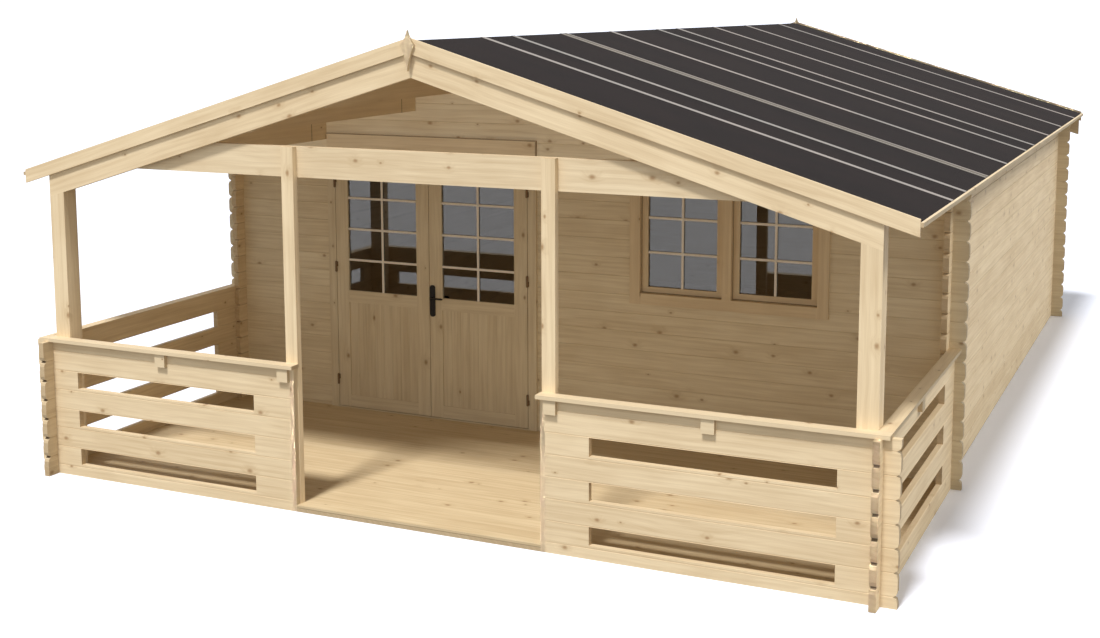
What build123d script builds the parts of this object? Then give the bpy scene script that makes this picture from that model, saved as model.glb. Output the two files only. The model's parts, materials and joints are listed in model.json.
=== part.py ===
from build123d import *
import os
from math import ceil, sqrt

# Log cabin with a covered veranda. X runs across the front, Y from the front to the rear, Z up.
# Sizes are worked out with Y = 0 in the plane of the front fence's outer face. Each piece is then
# moved back by PLAN_MIDDLE, so that the origin is on the ground at the middle of the whole plan.

# Logs
LOG_PITCH = 135.0
LOG_THICK = 40.0
JOINT_GROOVE = 3.0
END_NICK_DEPTH = 26.0
END_NICK_HEIGHT = 26.0
END_ROUND_DEPTH = 6.0
END_ROUND_HEIGHT = 64.0
MIN_NECK = 15.0
CABIN_LOG_END = 110.0
FENCE_LOG_END = 95.0

# Plan
CABIN_WIDTH = 5706.0
CABIN_DEPTH = 6235.0
VERANDA_DEPTH = 2183.0

# Roof
RIDGE_HEIGHT = 3030.0
EAVE_HEIGHT = 2110.0
EAVE_REACH = 192.0
REAR_OVERHANG = 180.0
BOARD_THICK = 19.0
FELT_THICK = 4.0
FASCIA_WIDTH = 90.0
FASCIA_THICK = 20.0
FASCIA_LIFT = 17.0
RAFTER_WIDTH = 190.0
RAFTER_THICK = 45.0
EAVE_BOARD_WIDTH = 45.0
EAVE_BOARD_THICK = 18.0
PURLIN_THICK = 45.0
PURLIN_DEPTH = 200.0
PURLIN_PLACES = (0.0, 652.0, 1217.0, 2025.0)
REAR_RAFTER_THICK = 28.0

# Veranda frame
CORNER_POST = 120.0
MIDDLE_POST_WIDTH = 88.0
MIDDLE_POST_DEPTH = 45.0
BEAM_DEPTH = 195.0
BEAM_THICK = 45.0
BEAM_TOP = 2359.0

# Fence
FENCE_ROWS = 7
ENTRANCE_WIDTH = 1735.0
FRONT_SLOT_INSET = 313.0
FRONT_SLOT_END = 248.0
SIDE_SLOT_INSET = 346.0
SIDE_SLOT_START = 300.0
TONGUE_HEIGHT = 16.0
SLOT_DROP = 4.0
CAP_WIDTH = 82.0
CAP_THICK = 24.0
CAP_END = 14.0
CAP_BLOCK_WIDTH = 80.0
CAP_BLOCK_HEIGHT = 90.0
CAP_BLOCK_THICK = 28.0
CAP_BLOCK_SPACING = 975.0
SIDE_BLOCK_PLACE = 965.0
END_BOARD_WIDTH = 30.0

# Floors
FLOOR_TOP = 43.0
FLOOR_THICK = 19.0
BEARER_WIDTH = 60.0
BEARER_COUNT = 7

# Double door
DOOR_LEFT = -1993.0
DOOR_WIDTH = 1820.0
DOOR_ROWS = 15
JAMB_WIDTH = 69.0
HEAD_HEIGHT = 45.0
FRAME_DEPTH = 75.0
FRAME_PROUD = 20.0
STOP_DEPTH = 18.0
STOP_PROUD = 15.0
THRESHOLD_RISE = 8.0
LEAF_THICK = 40.0
LEAF_GAP = 5.0
STILE_WIDTH = 109.0
LOCK_RAIL_HEIGHT = 95.0
FOOT_RAIL_HEIGHT = 95.0
PANEL_RECESS = 8.0
DOOR_GLASS_BOTTOM = 1001.0
DOOR_GLASS_HEIGHT = 984.0
GLASS_THICK = 6.0
HEAD_BOARD_HEIGHT = 152.0
HEAD_BOARD_THICK = 18.0

# Door furniture
HINGE_RADIUS = 9.0
HINGE_HEIGHTS = (275.0, 1187.0, 1862.0)
HINGE_LENGTH = 76.0
HINGE_PLATE = 3.0
HINGE_PLATE_WIDTH = 13.0
PIN_RADIUS = 5.0
RUNNING_CLEARANCE = 0.3
HANDLE_HEIGHT = 1000.0
HANDLE_PLATE_WIDTH = 44.0
HANDLE_PLATE_HEIGHT = 212.0
HANDLE_PLATE_RISE = 65.0
HANDLE_PLATE_THICK = 8.0
HANDLE_PLATE_FLAT = 6.0
HANDLE_INSET = 26.0
LEVER_NECK_RADIUS = 9.0
LEVER_NECK_LENGTH = 34.0
LEVER_LENGTH = 105.0
LEVER_WIDTH = 20.0
LEVER_THICK = 12.0

# Windows
WINDOW_LEFT = 652.0
WINDOW_WIDTH = 1306.0
WINDOW_SILL_ROWS = 8
WINDOW_MULLION = 66.0
SASH_WIDTH = 50.0
SASH_FOOT_HEIGHT = 68.0
SASH_HEAD_HEIGHT = 120.0
SASH_THICK = 44.0
SASH_SETBACK = 20.0
CASING_WIDTH = 78.0
CASING_THICK = 18.0
CASING_LAP = 22.0

# Finial
FINIAL_HEIGHT = 245.0
FINIAL_WIDTH = 92.0
FINIAL_RISE = 62.0
FINIAL_POINT = 88.0
FINIAL_HOLLOW = 7.0
FINIAL_THICK = 18.0

# Places worked out from the sizes above
WALL_OUT = CABIN_WIDTH / 2
WALL_IN = WALL_OUT - LOG_THICK
FENCE_IN = WALL_OUT
FENCE_OUT = FENCE_IN + LOG_THICK
FRONT_FACE = VERANDA_DEPTH
FRONT_INSIDE = FRONT_FACE + LOG_THICK
REAR_FACE = VERANDA_DEPTH + CABIN_DEPTH
REAR_INSIDE = REAR_FACE - LOG_THICK
EAVE_X = WALL_OUT + EAVE_REACH
SLOPE = (RIDGE_HEIGHT - EAVE_HEIGHT) / EAVE_X
RAKE = sqrt(1 + SLOPE * SLOPE)
FELT_DROP = FELT_THICK * RAKE
BOARD_DROP = FELT_DROP + BOARD_THICK * RAKE
RAFTER_FRONT = LOG_THICK
FASCIA_FRONT = RAFTER_FRONT - FASCIA_THICK
BEAM_FRONT = RAFTER_FRONT + MIDDLE_POST_DEPTH
BEAM_BACK = BEAM_FRONT + BEAM_THICK
ROOF_REAR = REAR_FACE + REAR_OVERHANG
FENCE_TOP = FENCE_ROWS * LOG_PITCH
ENTRANCE_X = ENTRANCE_WIDTH / 2
SPLIT_HEIGHT = (DOOR_ROWS + 0.5) * LOG_PITCH
SILL_HEIGHT = (WINDOW_SILL_ROWS + 0.5) * LOG_PITCH
CABIN_WALL_TOP = RIDGE_HEIGHT - SLOPE * WALL_OUT - BOARD_DROP
DOOR_RIGHT = DOOR_LEFT + DOOR_WIDTH
DOOR_MIDDLE = DOOR_LEFT + DOOR_WIDTH / 2
WINDOW_RIGHT = WINDOW_LEFT + WINDOW_WIDTH
SASH_FRONT = FRONT_FACE + SASH_SETBACK
THRESHOLD_TOP = FLOOR_TOP + THRESHOLD_RISE
LEAF_BOTTOM = THRESHOLD_TOP + LEAF_GAP
LEAF_TOP = SPLIT_HEIGHT - HEAD_HEIGHT - LEAF_GAP
FRAME_FRONT = FRONT_FACE - FRAME_PROUD
LEAF_FRONT = FRAME_FRONT
LEAF_BACK = LEAF_FRONT + LEAF_THICK
LEAF_WIDTH = (DOOR_WIDTH - 2 * JAMB_WIDTH - 3 * LEAF_GAP) / 2
HINGE_Y = LEAF_FRONT - HINGE_RADIUS
FINIAL_TOP = RIDGE_HEIGHT + FINIAL_RISE
FRONT_MOST = -FENCE_LOG_END
REAR_MOST = ROOF_REAR + FASCIA_THICK + FINIAL_THICK
PLAN_MIDDLE = (FRONT_MOST + REAR_MOST) / 2


def block(x, y, z):
    """A straight block between two corners, given as (low, high) pairs."""
    size = Box(x[1] - x[0], y[1] - y[0], z[1] - z[0])
    return Pos((x[0] + x[1]) / 2, (y[0] + y[1]) / 2, (z[0] + z[1]) / 2) * size


def prism(points, along):
    """A closed outline of 3D points carried along a vector."""
    face = make_face(Polyline(*points, close=True))
    return extrude(face, amount=Vector(*along).length, dir=Vector(*along))


def across(points, y0, y1):
    """An outline of (x, z) points carried from y0 to y1."""
    return prism([(x, y0, z) for x, z in points], (0, y1 - y0, 0))


def lengthwise(points, x0, x1):
    """An outline of (y, z) points carried from x0 to x1."""
    return prism([(x0, y, z) for y, z in points], (x1 - x0, 0, 0))


def other_side(shape):
    """The same piece on the left-hand side."""
    return mirror(shape, about=Plane.YZ)


def both_sides(shape):
    """A right-hand piece and its mirror image, as two solids."""
    return [shape, other_side(shape)]


def roof_height(x, drop=0.0):
    """Height of the felt's top face at x, less a vertical drop."""
    return RIDGE_HEIGHT - SLOPE * abs(x) - drop


def joints(first, bottom, top):
    """Heights of the joints between stacked logs; the first log is a share of a whole one."""
    count = ceil(top / LOG_PITCH) + 1
    heights = [(first + n) * LOG_PITCH for n in range(count)]
    return [z for z in heights if bottom + JOINT_GROOVE < z < top - JOINT_GROOVE]


def groove(face, inward, z):
    """A shallow V groove in a face at height z, as (place, z) points from below upwards."""
    return [(face, z - JOINT_GROOVE), (face + inward * JOINT_GROOVE, z), (face, z + JOINT_GROOVE)]


def log_section(low, high, bottom, top, heights, grooved=(True, True)):
    """Cross-section of stacked logs: flat faces, with a groove at each joint where grooved."""
    back = [(high, bottom)]
    if grooved[1]:
        for z in heights:
            back += groove(high, -1, z)
    front = [(low, top)]
    if grooved[0]:
        for z in reversed(heights):
            front += reversed(groove(low, 1, z))
    return back + [(high, top)] + front + [(low, bottom)]


def nick(end, inward, z):
    """The rounded-off corners and the nick between two logs' ends, from below upwards."""
    edge = END_ROUND_HEIGHT / 2
    lip = END_NICK_HEIGHT / 2
    shoulder = end + inward * END_ROUND_DEPTH
    deep = end + inward * END_NICK_DEPTH
    return [(end, z - edge), (shoulder, z - lip), (deep, z), (shoulder, z + lip), (end, z + edge)]


def log_outline(start, end, bottom, top, heights, start_free, end_free):
    """Side view of stacked logs: each free end is rounded off and nicked where two logs meet."""
    fitting = [z for z in heights if z + END_ROUND_HEIGHT / 2 < top]
    right = [(end, bottom)]
    if end_free:
        for z in fitting:
            right += nick(end, -1, z)
    left = [(start, top)]
    if start_free:
        for z in reversed(fitting):
            left += reversed(nick(start, 1, z))
    return right + [(end, top)] + left + [(start, bottom)]


def cross_logs(x, y, z, free=(False, False), grooved=(True, True)):
    """A wall of logs that runs along X, starting from a half log on the ground."""
    heights = joints(0.5, z[0], z[1])
    body = lengthwise(log_section(y[0], y[1], z[0], z[1], heights, grooved), x[0], x[1])
    if free[0] or free[1]:
        outline = log_outline(x[0], x[1], z[0], z[1], heights, free[0], free[1])
        body = body & across(outline, y[0], y[1])
    return body


def long_logs(x, y, z, free=(True, True), grooved=(True, True)):
    """A wall of logs that runs along Y, starting from a whole log on the ground."""
    heights = joints(1.0, z[0], z[1])
    body = across(log_section(x[0], x[1], z[0], z[1], heights, grooved), y[0], y[1])
    outline = log_outline(y[0], y[1], z[0], z[1], heights, free[0], free[1])
    return body & lengthwise(outline, x[0], x[1])


def necks(top):
    """Heights, as (low, high), where the necks of logs along Y pass through a corner."""
    count = int((top - MIN_NECK) / LOG_PITCH + 0.25)
    return [((n + 0.25) * LOG_PITCH, (n + 0.75) * LOG_PITCH) for n in range(count)]


def spaces(top):
    """Heights between those necks, which the necks of logs along X fill."""
    edges = [0.0] + [edge for neck in necks(top) for edge in neck] + [top + LOG_PITCH]
    return list(zip(edges[0::2], edges[1::2]))


def notches(heights, x, y):
    """What is cut from one wall's logs where the other wall's necks pass through."""
    return [block(x, y, z) for z in heights]


def under_roof(shape, y):
    """Trim a wall to the underside of the roof boards."""
    top = RIDGE_HEIGHT + CABIN_WIDTH
    reach = CABIN_WIDTH
    points = [
        (-reach, roof_height(reach, BOARD_DROP)),
        (0, roof_height(0, BOARD_DROP)),
        (reach, roof_height(reach, BOARD_DROP)),
        (reach, top),
        (-reach, top),
    ]
    return shape - across(points, y[0] - 1, y[1] + 1)


def side_wall():
    """Right-hand cabin wall, notched over the front and rear walls."""
    x = (WALL_IN, WALL_OUT)
    y = (FRONT_FACE - CABIN_LOG_END, REAR_FACE + CABIN_LOG_END)
    wall = long_logs(x, y, (0, roof_height(WALL_IN, BOARD_DROP)), grooved=(False, True))
    cuts = notches(spaces(CABIN_WALL_TOP), x, (FRONT_FACE, FRONT_INSIDE))
    cuts += notches(spaces(CABIN_WALL_TOP), x, (REAR_INSIDE, REAR_FACE))
    return under_roof(wall - cuts, y)


def cross_wall(x, y, free, grooved):
    """A lower part of the front or rear wall, notched at each free end."""
    wall = cross_logs(x, y, (0, SPLIT_HEIGHT), free, grooved)
    cuts = []
    if free[0]:
        cuts += notches(necks(CABIN_WALL_TOP), (-WALL_OUT, -WALL_IN), y)
    if free[1]:
        cuts += notches(necks(CABIN_WALL_TOP), (WALL_IN, WALL_OUT), y)
    return wall - cuts


def gable(y, grooved):
    """The part of an end wall above the door head, up to the roof, housed round the purlins."""
    reach = WALL_OUT + CABIN_LOG_END
    top = roof_height(0, BOARD_DROP)
    wall = cross_logs((-reach, reach), y, (SPLIT_HEIGHT, top), grooved=grooved)
    cuts = notches(necks(CABIN_WALL_TOP), (WALL_IN, WALL_OUT), y)
    cuts += notches(necks(CABIN_WALL_TOP), (-WALL_OUT, -WALL_IN), y)
    cuts += [purlin(x) for x in purlin_centres()]
    return under_roof(wall, y) - cuts


def purlin_centres():
    """Centres of the ridge purlin and of the purlins each side of it."""
    sides = [x for x in PURLIN_PLACES if x > 0]
    return [-x for x in reversed(sides)] + [0.0] + sides


def purlin(x):
    """One purlin at x, cut to the slope on top; a low one butts against the tie beam's back."""
    low = x - PURLIN_THICK / 2
    high = x + PURLIN_THICK / 2
    bottom = roof_height(x, BOARD_DROP) - PURLIN_DEPTH
    start = BEAM_BACK if bottom < BEAM_TOP else RAFTER_FRONT + RAFTER_THICK
    points = [(low, bottom), (high, bottom), (high, roof_height(high, BOARD_DROP))]
    if low < 0 < high:
        points.append((0, roof_height(0, BOARD_DROP)))
    points.append((low, roof_height(low, BOARD_DROP)))
    return across(points, start, ROOF_REAR - REAR_RAFTER_THICK)


def sloping(low_drop, high_drop, x0, x1, y0, y1):
    """A board or sheet that lies along the right-hand slope between two vertical drops."""
    points = [
        (x0, roof_height(x0, low_drop)),
        (x1, roof_height(x1, low_drop)),
        (x1, roof_height(x1, high_drop)),
        (x0, roof_height(x0, high_drop)),
    ]
    return across(points, y0, y1)


def roof_boards():
    return sloping(BOARD_DROP, FELT_DROP, 0, EAVE_X, RAFTER_FRONT, ROOF_REAR)


def roof_felt():
    """One layer of felt folded over the ridge."""
    side = sloping(FELT_DROP, 0, 0, EAVE_X, RAFTER_FRONT, ROOF_REAR)
    return side + other_side(side)


def eave_board():
    """The thin board that closes the roof boards' ends at the eave."""
    top = roof_height(EAVE_X)
    x = (EAVE_X, EAVE_X + EAVE_BOARD_THICK)
    return block(x, (FASCIA_FRONT, ROOF_REAR + FASCIA_THICK), (top - EAVE_BOARD_WIDTH, top))


def fascia(y0):
    """The board along a gable's edge, standing a little above the felt."""
    low = FASCIA_WIDTH * RAKE - FASCIA_LIFT
    return sloping(low, -FASCIA_LIFT, 0, EAVE_X, y0, y0 + FASCIA_THICK)


def rafter(y0, thick):
    """The wide board under the roof boards at a gable's edge."""
    low = BOARD_DROP + RAFTER_WIDTH * RAKE
    return sloping(low, BOARD_DROP, 0, EAVE_X - EAVE_BOARD_THICK, y0, y0 + thick)


def corner_post():
    """Square post in the fence's inner corner, housed behind the front rafter."""
    x = (WALL_OUT - CORNER_POST, WALL_OUT)
    y = (RAFTER_FRONT, RAFTER_FRONT + CORNER_POST)
    post = under_roof(block(x, y, (0, RIDGE_HEIGHT)), y)
    return post - rafter(RAFTER_FRONT, RAFTER_THICK)


def middle_post():
    """Flat post at the fence's end, planted on the front of the tie beam."""
    x = (ENTRANCE_X - CAP_END / 2, ENTRANCE_X - CAP_END / 2 + MIDDLE_POST_WIDTH)
    return block(x, (RAFTER_FRONT, BEAM_FRONT), (0, BEAM_TOP))


def tie_beam():
    """Beam between the corner posts, its ends cut to the roof."""
    x = WALL_OUT - CORNER_POST
    y = (BEAM_FRONT, BEAM_BACK)
    return under_roof(block((-x, x), y, (BEAM_TOP - BEAM_DEPTH, BEAM_TOP)), y)


def front_fence():
    """Right-hand front panel: logs with three slots, notched over the side panel."""
    end = FENCE_OUT + FENCE_LOG_END
    y = (0, LOG_THICK)
    panel = cross_logs((ENTRANCE_X + END_BOARD_WIDTH, end), y, (0, FENCE_TOP), (False, True))
    cuts = notches(necks(FENCE_TOP), (FENCE_IN, FENCE_OUT), y)
    x = (ENTRANCE_X + FRONT_SLOT_INSET, FENCE_OUT - FRONT_SLOT_END)
    for n in range(0, FENCE_ROWS - 1, 2):
        low = (n + 0.5) * LOG_PITCH
        cuts.append(block(x, y, (low + TONGUE_HEIGHT, low + LOG_PITCH - SLOT_DROP)))
    return panel - cuts


def side_fence():
    """Right-hand side panel between the front panel and the cabin's front wall."""
    x = (FENCE_IN, FENCE_OUT)
    panel = long_logs(x, (-FENCE_LOG_END, FRONT_FACE), (0, FENCE_TOP), (True, False))
    cuts = notches(spaces(FENCE_TOP), x, (0, LOG_THICK))
    y = (SIDE_SLOT_START, FRONT_FACE - SIDE_SLOT_INSET)
    for n in range(1, FENCE_ROWS, 2):
        low = n * LOG_PITCH
        cuts.append(block(x, y, (low, low + LOG_PITCH - SLOT_DROP)))
    return panel - cuts


def front_cap():
    """Flat rail on the front panel, with the blocks under it."""
    y = (LOG_THICK - CAP_WIDTH, LOG_THICK)
    z = (FENCE_TOP, FENCE_TOP + CAP_THICK)
    x = (ENTRANCE_X - CAP_END, WALL_OUT + CAP_WIDTH)
    rail = block(x, y, z)
    first = ENTRANCE_X + END_BOARD_WIDTH
    for low in (first, first + CAP_BLOCK_SPACING):
        rail += block((low, low + CAP_BLOCK_WIDTH), (-CAP_BLOCK_THICK, 0),
                      (FENCE_TOP - CAP_BLOCK_HEIGHT, FENCE_TOP))
    return rail


def side_cap():
    """Flat rail on the side panel, with the block under it."""
    x = (FENCE_IN, FENCE_IN + CAP_WIDTH)
    rail = block(x, (LOG_THICK, FRONT_FACE), (FENCE_TOP, FENCE_TOP + CAP_THICK))
    half = CAP_BLOCK_WIDTH / 2
    y = (SIDE_BLOCK_PLACE - half, SIDE_BLOCK_PLACE + half)
    x = (FENCE_OUT, FENCE_OUT + CAP_BLOCK_THICK)
    return rail + block(x, y, (FENCE_TOP - CAP_BLOCK_HEIGHT, FENCE_TOP))


def end_board():
    """Upright board that closes the front panel's logs at the entrance."""
    return block((ENTRANCE_X, ENTRANCE_X + END_BOARD_WIDTH), (0, LOG_THICK), (0, FENCE_TOP))


def head_board():
    """Board on the wall above the double door, standing on its frame."""
    z = (SPLIT_HEIGHT, SPLIT_HEIGHT + HEAD_BOARD_HEIGHT)
    return block((DOOR_LEFT, DOOR_RIGHT), (FRONT_FACE - HEAD_BOARD_THICK, FRONT_FACE), z)


def veranda_floor():
    """Veranda boards, cut round the posts and brought forward between the fence panels."""
    z = (FLOOR_TOP - FLOOR_THICK, FLOOR_TOP)
    floor = block((-FENCE_IN, FENCE_IN), (LOG_THICK, FRONT_FACE), z)
    floor += block((-ENTRANCE_X, ENTRANCE_X), (0, LOG_THICK), z)
    posts = [corner_post(), middle_post()]
    posts += [other_side(post) for post in posts]
    sides = [block(x, (FRONT_FACE - CABIN_LOG_END, FRONT_FACE), z) for x in
             ((WALL_IN, WALL_OUT), (-WALL_OUT, -WALL_IN))]
    return floor - posts - sides - door_frame()


def cabin_floor():
    z = (FLOOR_TOP - FLOOR_THICK, FLOOR_TOP)
    return block((-WALL_IN, WALL_IN), (FRONT_INSIDE, REAR_INSIDE), z) - door_frame()


def spread(low, high, count, width):
    """Evenly spaced strips between two ends, as (low, high) pairs."""
    step = (high - low - width) / (count - 1)
    return [(low + n * step, low + n * step + width) for n in range(count)]


def floor_bearers():
    """Bearers on the ground under both floors, running front to back."""
    z = (0, FLOOR_TOP - FLOOR_THICK)
    bearers = []
    inset = CORNER_POST
    for x in spread(-FENCE_IN + inset, FENCE_IN - inset, BEARER_COUNT, BEARER_WIDTH):
        bearers.append(block(x, (LOG_THICK + CORNER_POST, FRONT_FACE - FRAME_DEPTH), z))
    front = block((-ENTRANCE_X, ENTRANCE_X), (0, BEARER_WIDTH), z)
    posts = [middle_post(), other_side(middle_post())]
    bearers.append(front - posts)
    for x in spread(-WALL_IN, WALL_IN, BEARER_COUNT, BEARER_WIDTH):
        bearers.append(block(x, (FRONT_INSIDE + FRAME_DEPTH, REAR_INSIDE), z))
    return bearers


def door_frame():
    """Jambs, head, threshold and closing stops of the double door."""
    y = (FRAME_FRONT, FRAME_FRONT + FRAME_DEPTH)
    frame = block((DOOR_LEFT, DOOR_RIGHT), y, (0, SPLIT_HEIGHT))
    inner = (DOOR_LEFT + JAMB_WIDTH, DOOR_RIGHT - JAMB_WIDTH)
    head = SPLIT_HEIGHT - HEAD_HEIGHT
    frame -= block(inner, y, (THRESHOLD_TOP, head))
    stop_y = (LEAF_BACK + LEAF_GAP, LEAF_BACK + LEAF_GAP + STOP_DEPTH)
    stop = block(inner, stop_y, (THRESHOLD_TOP, head))
    stop -= block((inner[0] + STOP_PROUD, inner[1] - STOP_PROUD), stop_y,
                  (THRESHOLD_TOP, head - STOP_PROUD))
    return frame + stop


def leaf_span(side):
    """The (low, high) X of one leaf; side is -1 for the left leaf and 1 for the right."""
    low = DOOR_LEFT + JAMB_WIDTH + LEAF_GAP
    if side > 0:
        low += LEAF_WIDTH + LEAF_GAP
    return (low, low + LEAF_WIDTH)


def glass_span(side):
    low, high = leaf_span(side)
    return (low + STILE_WIDTH, high - STILE_WIDTH)


def door_leaf(side):
    """Glazed leaf: stiles and rails round a pane above a panel, which is recessed both ways."""
    leaf = block(leaf_span(side), (LEAF_FRONT, LEAF_BACK), (LEAF_BOTTOM, LEAF_TOP))
    glass_z = (DOOR_GLASS_BOTTOM, DOOR_GLASS_BOTTOM + DOOR_GLASS_HEIGHT)
    leaf -= block(glass_span(side), (LEAF_FRONT, LEAF_BACK), glass_z)
    panel_z = (LEAF_BOTTOM + FOOT_RAIL_HEIGHT, DOOR_GLASS_BOTTOM - LOCK_RAIL_HEIGHT)
    leaf -= block(glass_span(side), (LEAF_FRONT, LEAF_FRONT + PANEL_RECESS), panel_z)
    return leaf - block(glass_span(side), (LEAF_BACK - PANEL_RECESS, LEAF_BACK), panel_z)


def door_glass(side):
    middle = (LEAF_FRONT + LEAF_BACK) / 2
    y = (middle - GLASS_THICK / 2, middle + GLASS_THICK / 2)
    glass_z = (DOOR_GLASS_BOTTOM, DOOR_GLASS_BOTTOM + DOOR_GLASS_HEIGHT)
    return block(glass_span(side), y, glass_z)


def hinge_x(side):
    """X of a leaf's hinge pins, over the gap between the leaf and its jamb."""
    low, high = leaf_span(side)
    if side < 0:
        return low - LEAF_GAP / 2
    return high + LEAF_GAP / 2


def upright(x, y, radius, z):
    return Pos(x, y, (z[0] + z[1]) / 2) * Cylinder(radius, z[1] - z[0])


def frame_hinges():
    """Lower knuckles with their pins and plates, fixed to the jambs."""
    pieces = []
    for side in (-1, 1):
        x = hinge_x(side)
        for middle in HINGE_HEIGHTS:
            low = middle - HINGE_LENGTH / 2
            knuckle = upright(x, HINGE_Y, HINGE_RADIUS, (low, middle - RUNNING_CLEARANCE))
            pin = upright(x, HINGE_Y, PIN_RADIUS, (low, middle + HINGE_LENGTH / 2))
            plate_x = sorted((x, x + side * HINGE_PLATE_WIDTH))
            plate = block(plate_x, (LEAF_FRONT - HINGE_PLATE, LEAF_FRONT),
                          (low, middle - RUNNING_CLEARANCE))
            pieces.append(knuckle + pin + plate)
    return pieces


def leaf_hinges(side):
    """Upper knuckles and plates, fixed to one leaf."""
    pieces = []
    x = hinge_x(side)
    for middle in HINGE_HEIGHTS:
        z = (middle, middle + HINGE_LENGTH / 2)
        plate_x = sorted((x, x - side * HINGE_PLATE_WIDTH))
        plate = block(plate_x, (LEAF_FRONT - HINGE_PLATE, LEAF_FRONT), z)
        knuckle = upright(x, HINGE_Y, HINGE_RADIUS, z) + plate
        pieces.append(knuckle - upright(x, HINGE_Y, PIN_RADIUS + RUNNING_CLEARANCE, z))
    return pieces


def handle_x():
    return leaf_span(1)[0] + HANDLE_INSET


def across_rod(x, z, radius, y):
    return Pos(x, (y[0] + y[1]) / 2, z) * Rot(X=90) * Cylinder(radius, y[1] - y[0])


def lever_bore():
    """Clearance hole through the leaf and its plates for the lever's neck."""
    y = (LEAF_FRONT - 2 * HANDLE_PLATE_THICK, LEAF_BACK + 2 * HANDLE_PLATE_THICK)
    return across_rod(handle_x(), HANDLE_HEIGHT, LEVER_NECK_RADIUS + RUNNING_CLEARANCE, y)


def handle_plates():
    """Long plates with rounded ends on both faces of the right leaf."""
    half = HANDLE_PLATE_WIDTH / 2
    x = (handle_x() - half, handle_x() + half)
    top = HANDLE_HEIGHT + HANDLE_PLATE_RISE
    z = (top - HANDLE_PLATE_HEIGHT, top)
    corner = (HANDLE_PLATE_WIDTH - HANDLE_PLATE_FLAT) / 2
    pieces = []
    for y0 in (LEAF_FRONT - HANDLE_PLATE_THICK, LEAF_BACK):
        plate = block(x, (y0, y0 + HANDLE_PLATE_THICK), z)
        plate = fillet(plate.edges().filter_by(Axis.Y), corner)
        pieces.append(plate - lever_bore())
    return pieces


def lever():
    """Both lever handles on one spindle through the leaf."""
    x = handle_x()
    reach = HANDLE_PLATE_THICK + LEVER_NECK_LENGTH
    neck = across_rod(x, HANDLE_HEIGHT, LEVER_NECK_RADIUS, (LEAF_FRONT - reach, LEAF_BACK + reach))
    arms = neck
    for y0 in (LEAF_FRONT - reach, LEAF_BACK + reach - LEVER_THICK):
        span = (x - LEVER_WIDTH / 2, x + LEVER_LENGTH)
        half = LEVER_WIDTH / 2
        arms += block(span, (y0, y0 + LEVER_THICK), (HANDLE_HEIGHT - half, HANDLE_HEIGHT + half))
    return arms


def window_panes():
    """The (low, high) X of the two panes, one in each sash."""
    sash = (WINDOW_WIDTH - WINDOW_MULLION) / 2
    spans = ((WINDOW_LEFT, WINDOW_LEFT + sash), (WINDOW_RIGHT - sash, WINDOW_RIGHT))
    return [(low + SASH_WIDTH, high - SASH_WIDTH) for low, high in spans]


def window_pane_z():
    return (SILL_HEIGHT + SASH_FOOT_HEIGHT, SPLIT_HEIGHT - SASH_HEAD_HEIGHT)


def window_casing():
    """Boards on the wall round both sashes and between them, lapping onto the sashes' foot."""
    y = (FRONT_FACE - CASING_THICK, FRONT_FACE)
    low = SILL_HEIGHT + CASING_LAP
    high = SPLIT_HEIGHT - CASING_LAP
    casing = block((WINDOW_LEFT - CASING_WIDTH, WINDOW_RIGHT + CASING_WIDTH), y,
                   (low - CASING_WIDTH, high + CASING_WIDTH))
    sash = (WINDOW_WIDTH - WINDOW_MULLION) / 2
    casing -= block((WINDOW_LEFT, WINDOW_LEFT + sash), y, (low, high))
    return casing - block((WINDOW_RIGHT - sash, WINDOW_RIGHT), y, (low, high))


def window_frame():
    """Both sashes with the post between them, and the casing in front."""
    y = (SASH_FRONT, SASH_FRONT + SASH_THICK)
    frame = block((WINDOW_LEFT, WINDOW_RIGHT), y, (SILL_HEIGHT, SPLIT_HEIGHT))
    for pane in window_panes():
        frame -= block(pane, y, window_pane_z())
    lining = block((WINDOW_LEFT, WINDOW_RIGHT), (FRONT_FACE, SASH_FRONT),
                   (SILL_HEIGHT, SILL_HEIGHT + CASING_LAP))
    lining += block((WINDOW_LEFT, WINDOW_RIGHT), (FRONT_FACE, SASH_FRONT),
                    (SPLIT_HEIGHT - CASING_LAP, SPLIT_HEIGHT))
    middle = (WINDOW_LEFT + WINDOW_RIGHT) / 2
    half = WINDOW_MULLION / 2
    lining += block((middle - half, middle + half), (FRONT_FACE, SASH_FRONT),
                    (SILL_HEIGHT, SPLIT_HEIGHT))
    return frame + lining + window_casing()


def window_glass():
    middle = SASH_FRONT + SASH_THICK / 2
    y = (middle - GLASS_THICK / 2, middle + GLASS_THICK / 2)
    return [block(pane, y, window_pane_z()) for pane in window_panes()]


def front_wall_left():
    x = (-WALL_OUT - CABIN_LOG_END, DOOR_LEFT)
    return cross_wall(x, (FRONT_FACE, FRONT_INSIDE), (True, False), (True, False))


def front_wall_right():
    y = (FRONT_FACE, FRONT_INSIDE)
    x = (DOOR_RIGHT, WALL_OUT + CABIN_LOG_END)
    wall = cross_wall(x, y, (False, True), (True, False))
    return wall - block((WINDOW_LEFT, WINDOW_RIGHT), y, (SILL_HEIGHT, SPLIT_HEIGHT))


def rear_wall():
    reach = WALL_OUT + CABIN_LOG_END
    return cross_wall((-reach, reach), (REAR_INSIDE, REAR_FACE), (True, True), (False, True))


def bowed(start, end, centre):
    """An arc between two points that bows towards a centre line by the finial's hollow."""
    middle_x = (start[0] + end[0]) / 2
    inward = FINIAL_HOLLOW if middle_x < centre else -FINIAL_HOLLOW
    return (middle_x + inward, (start[1] + end[1]) / 2)


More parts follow.
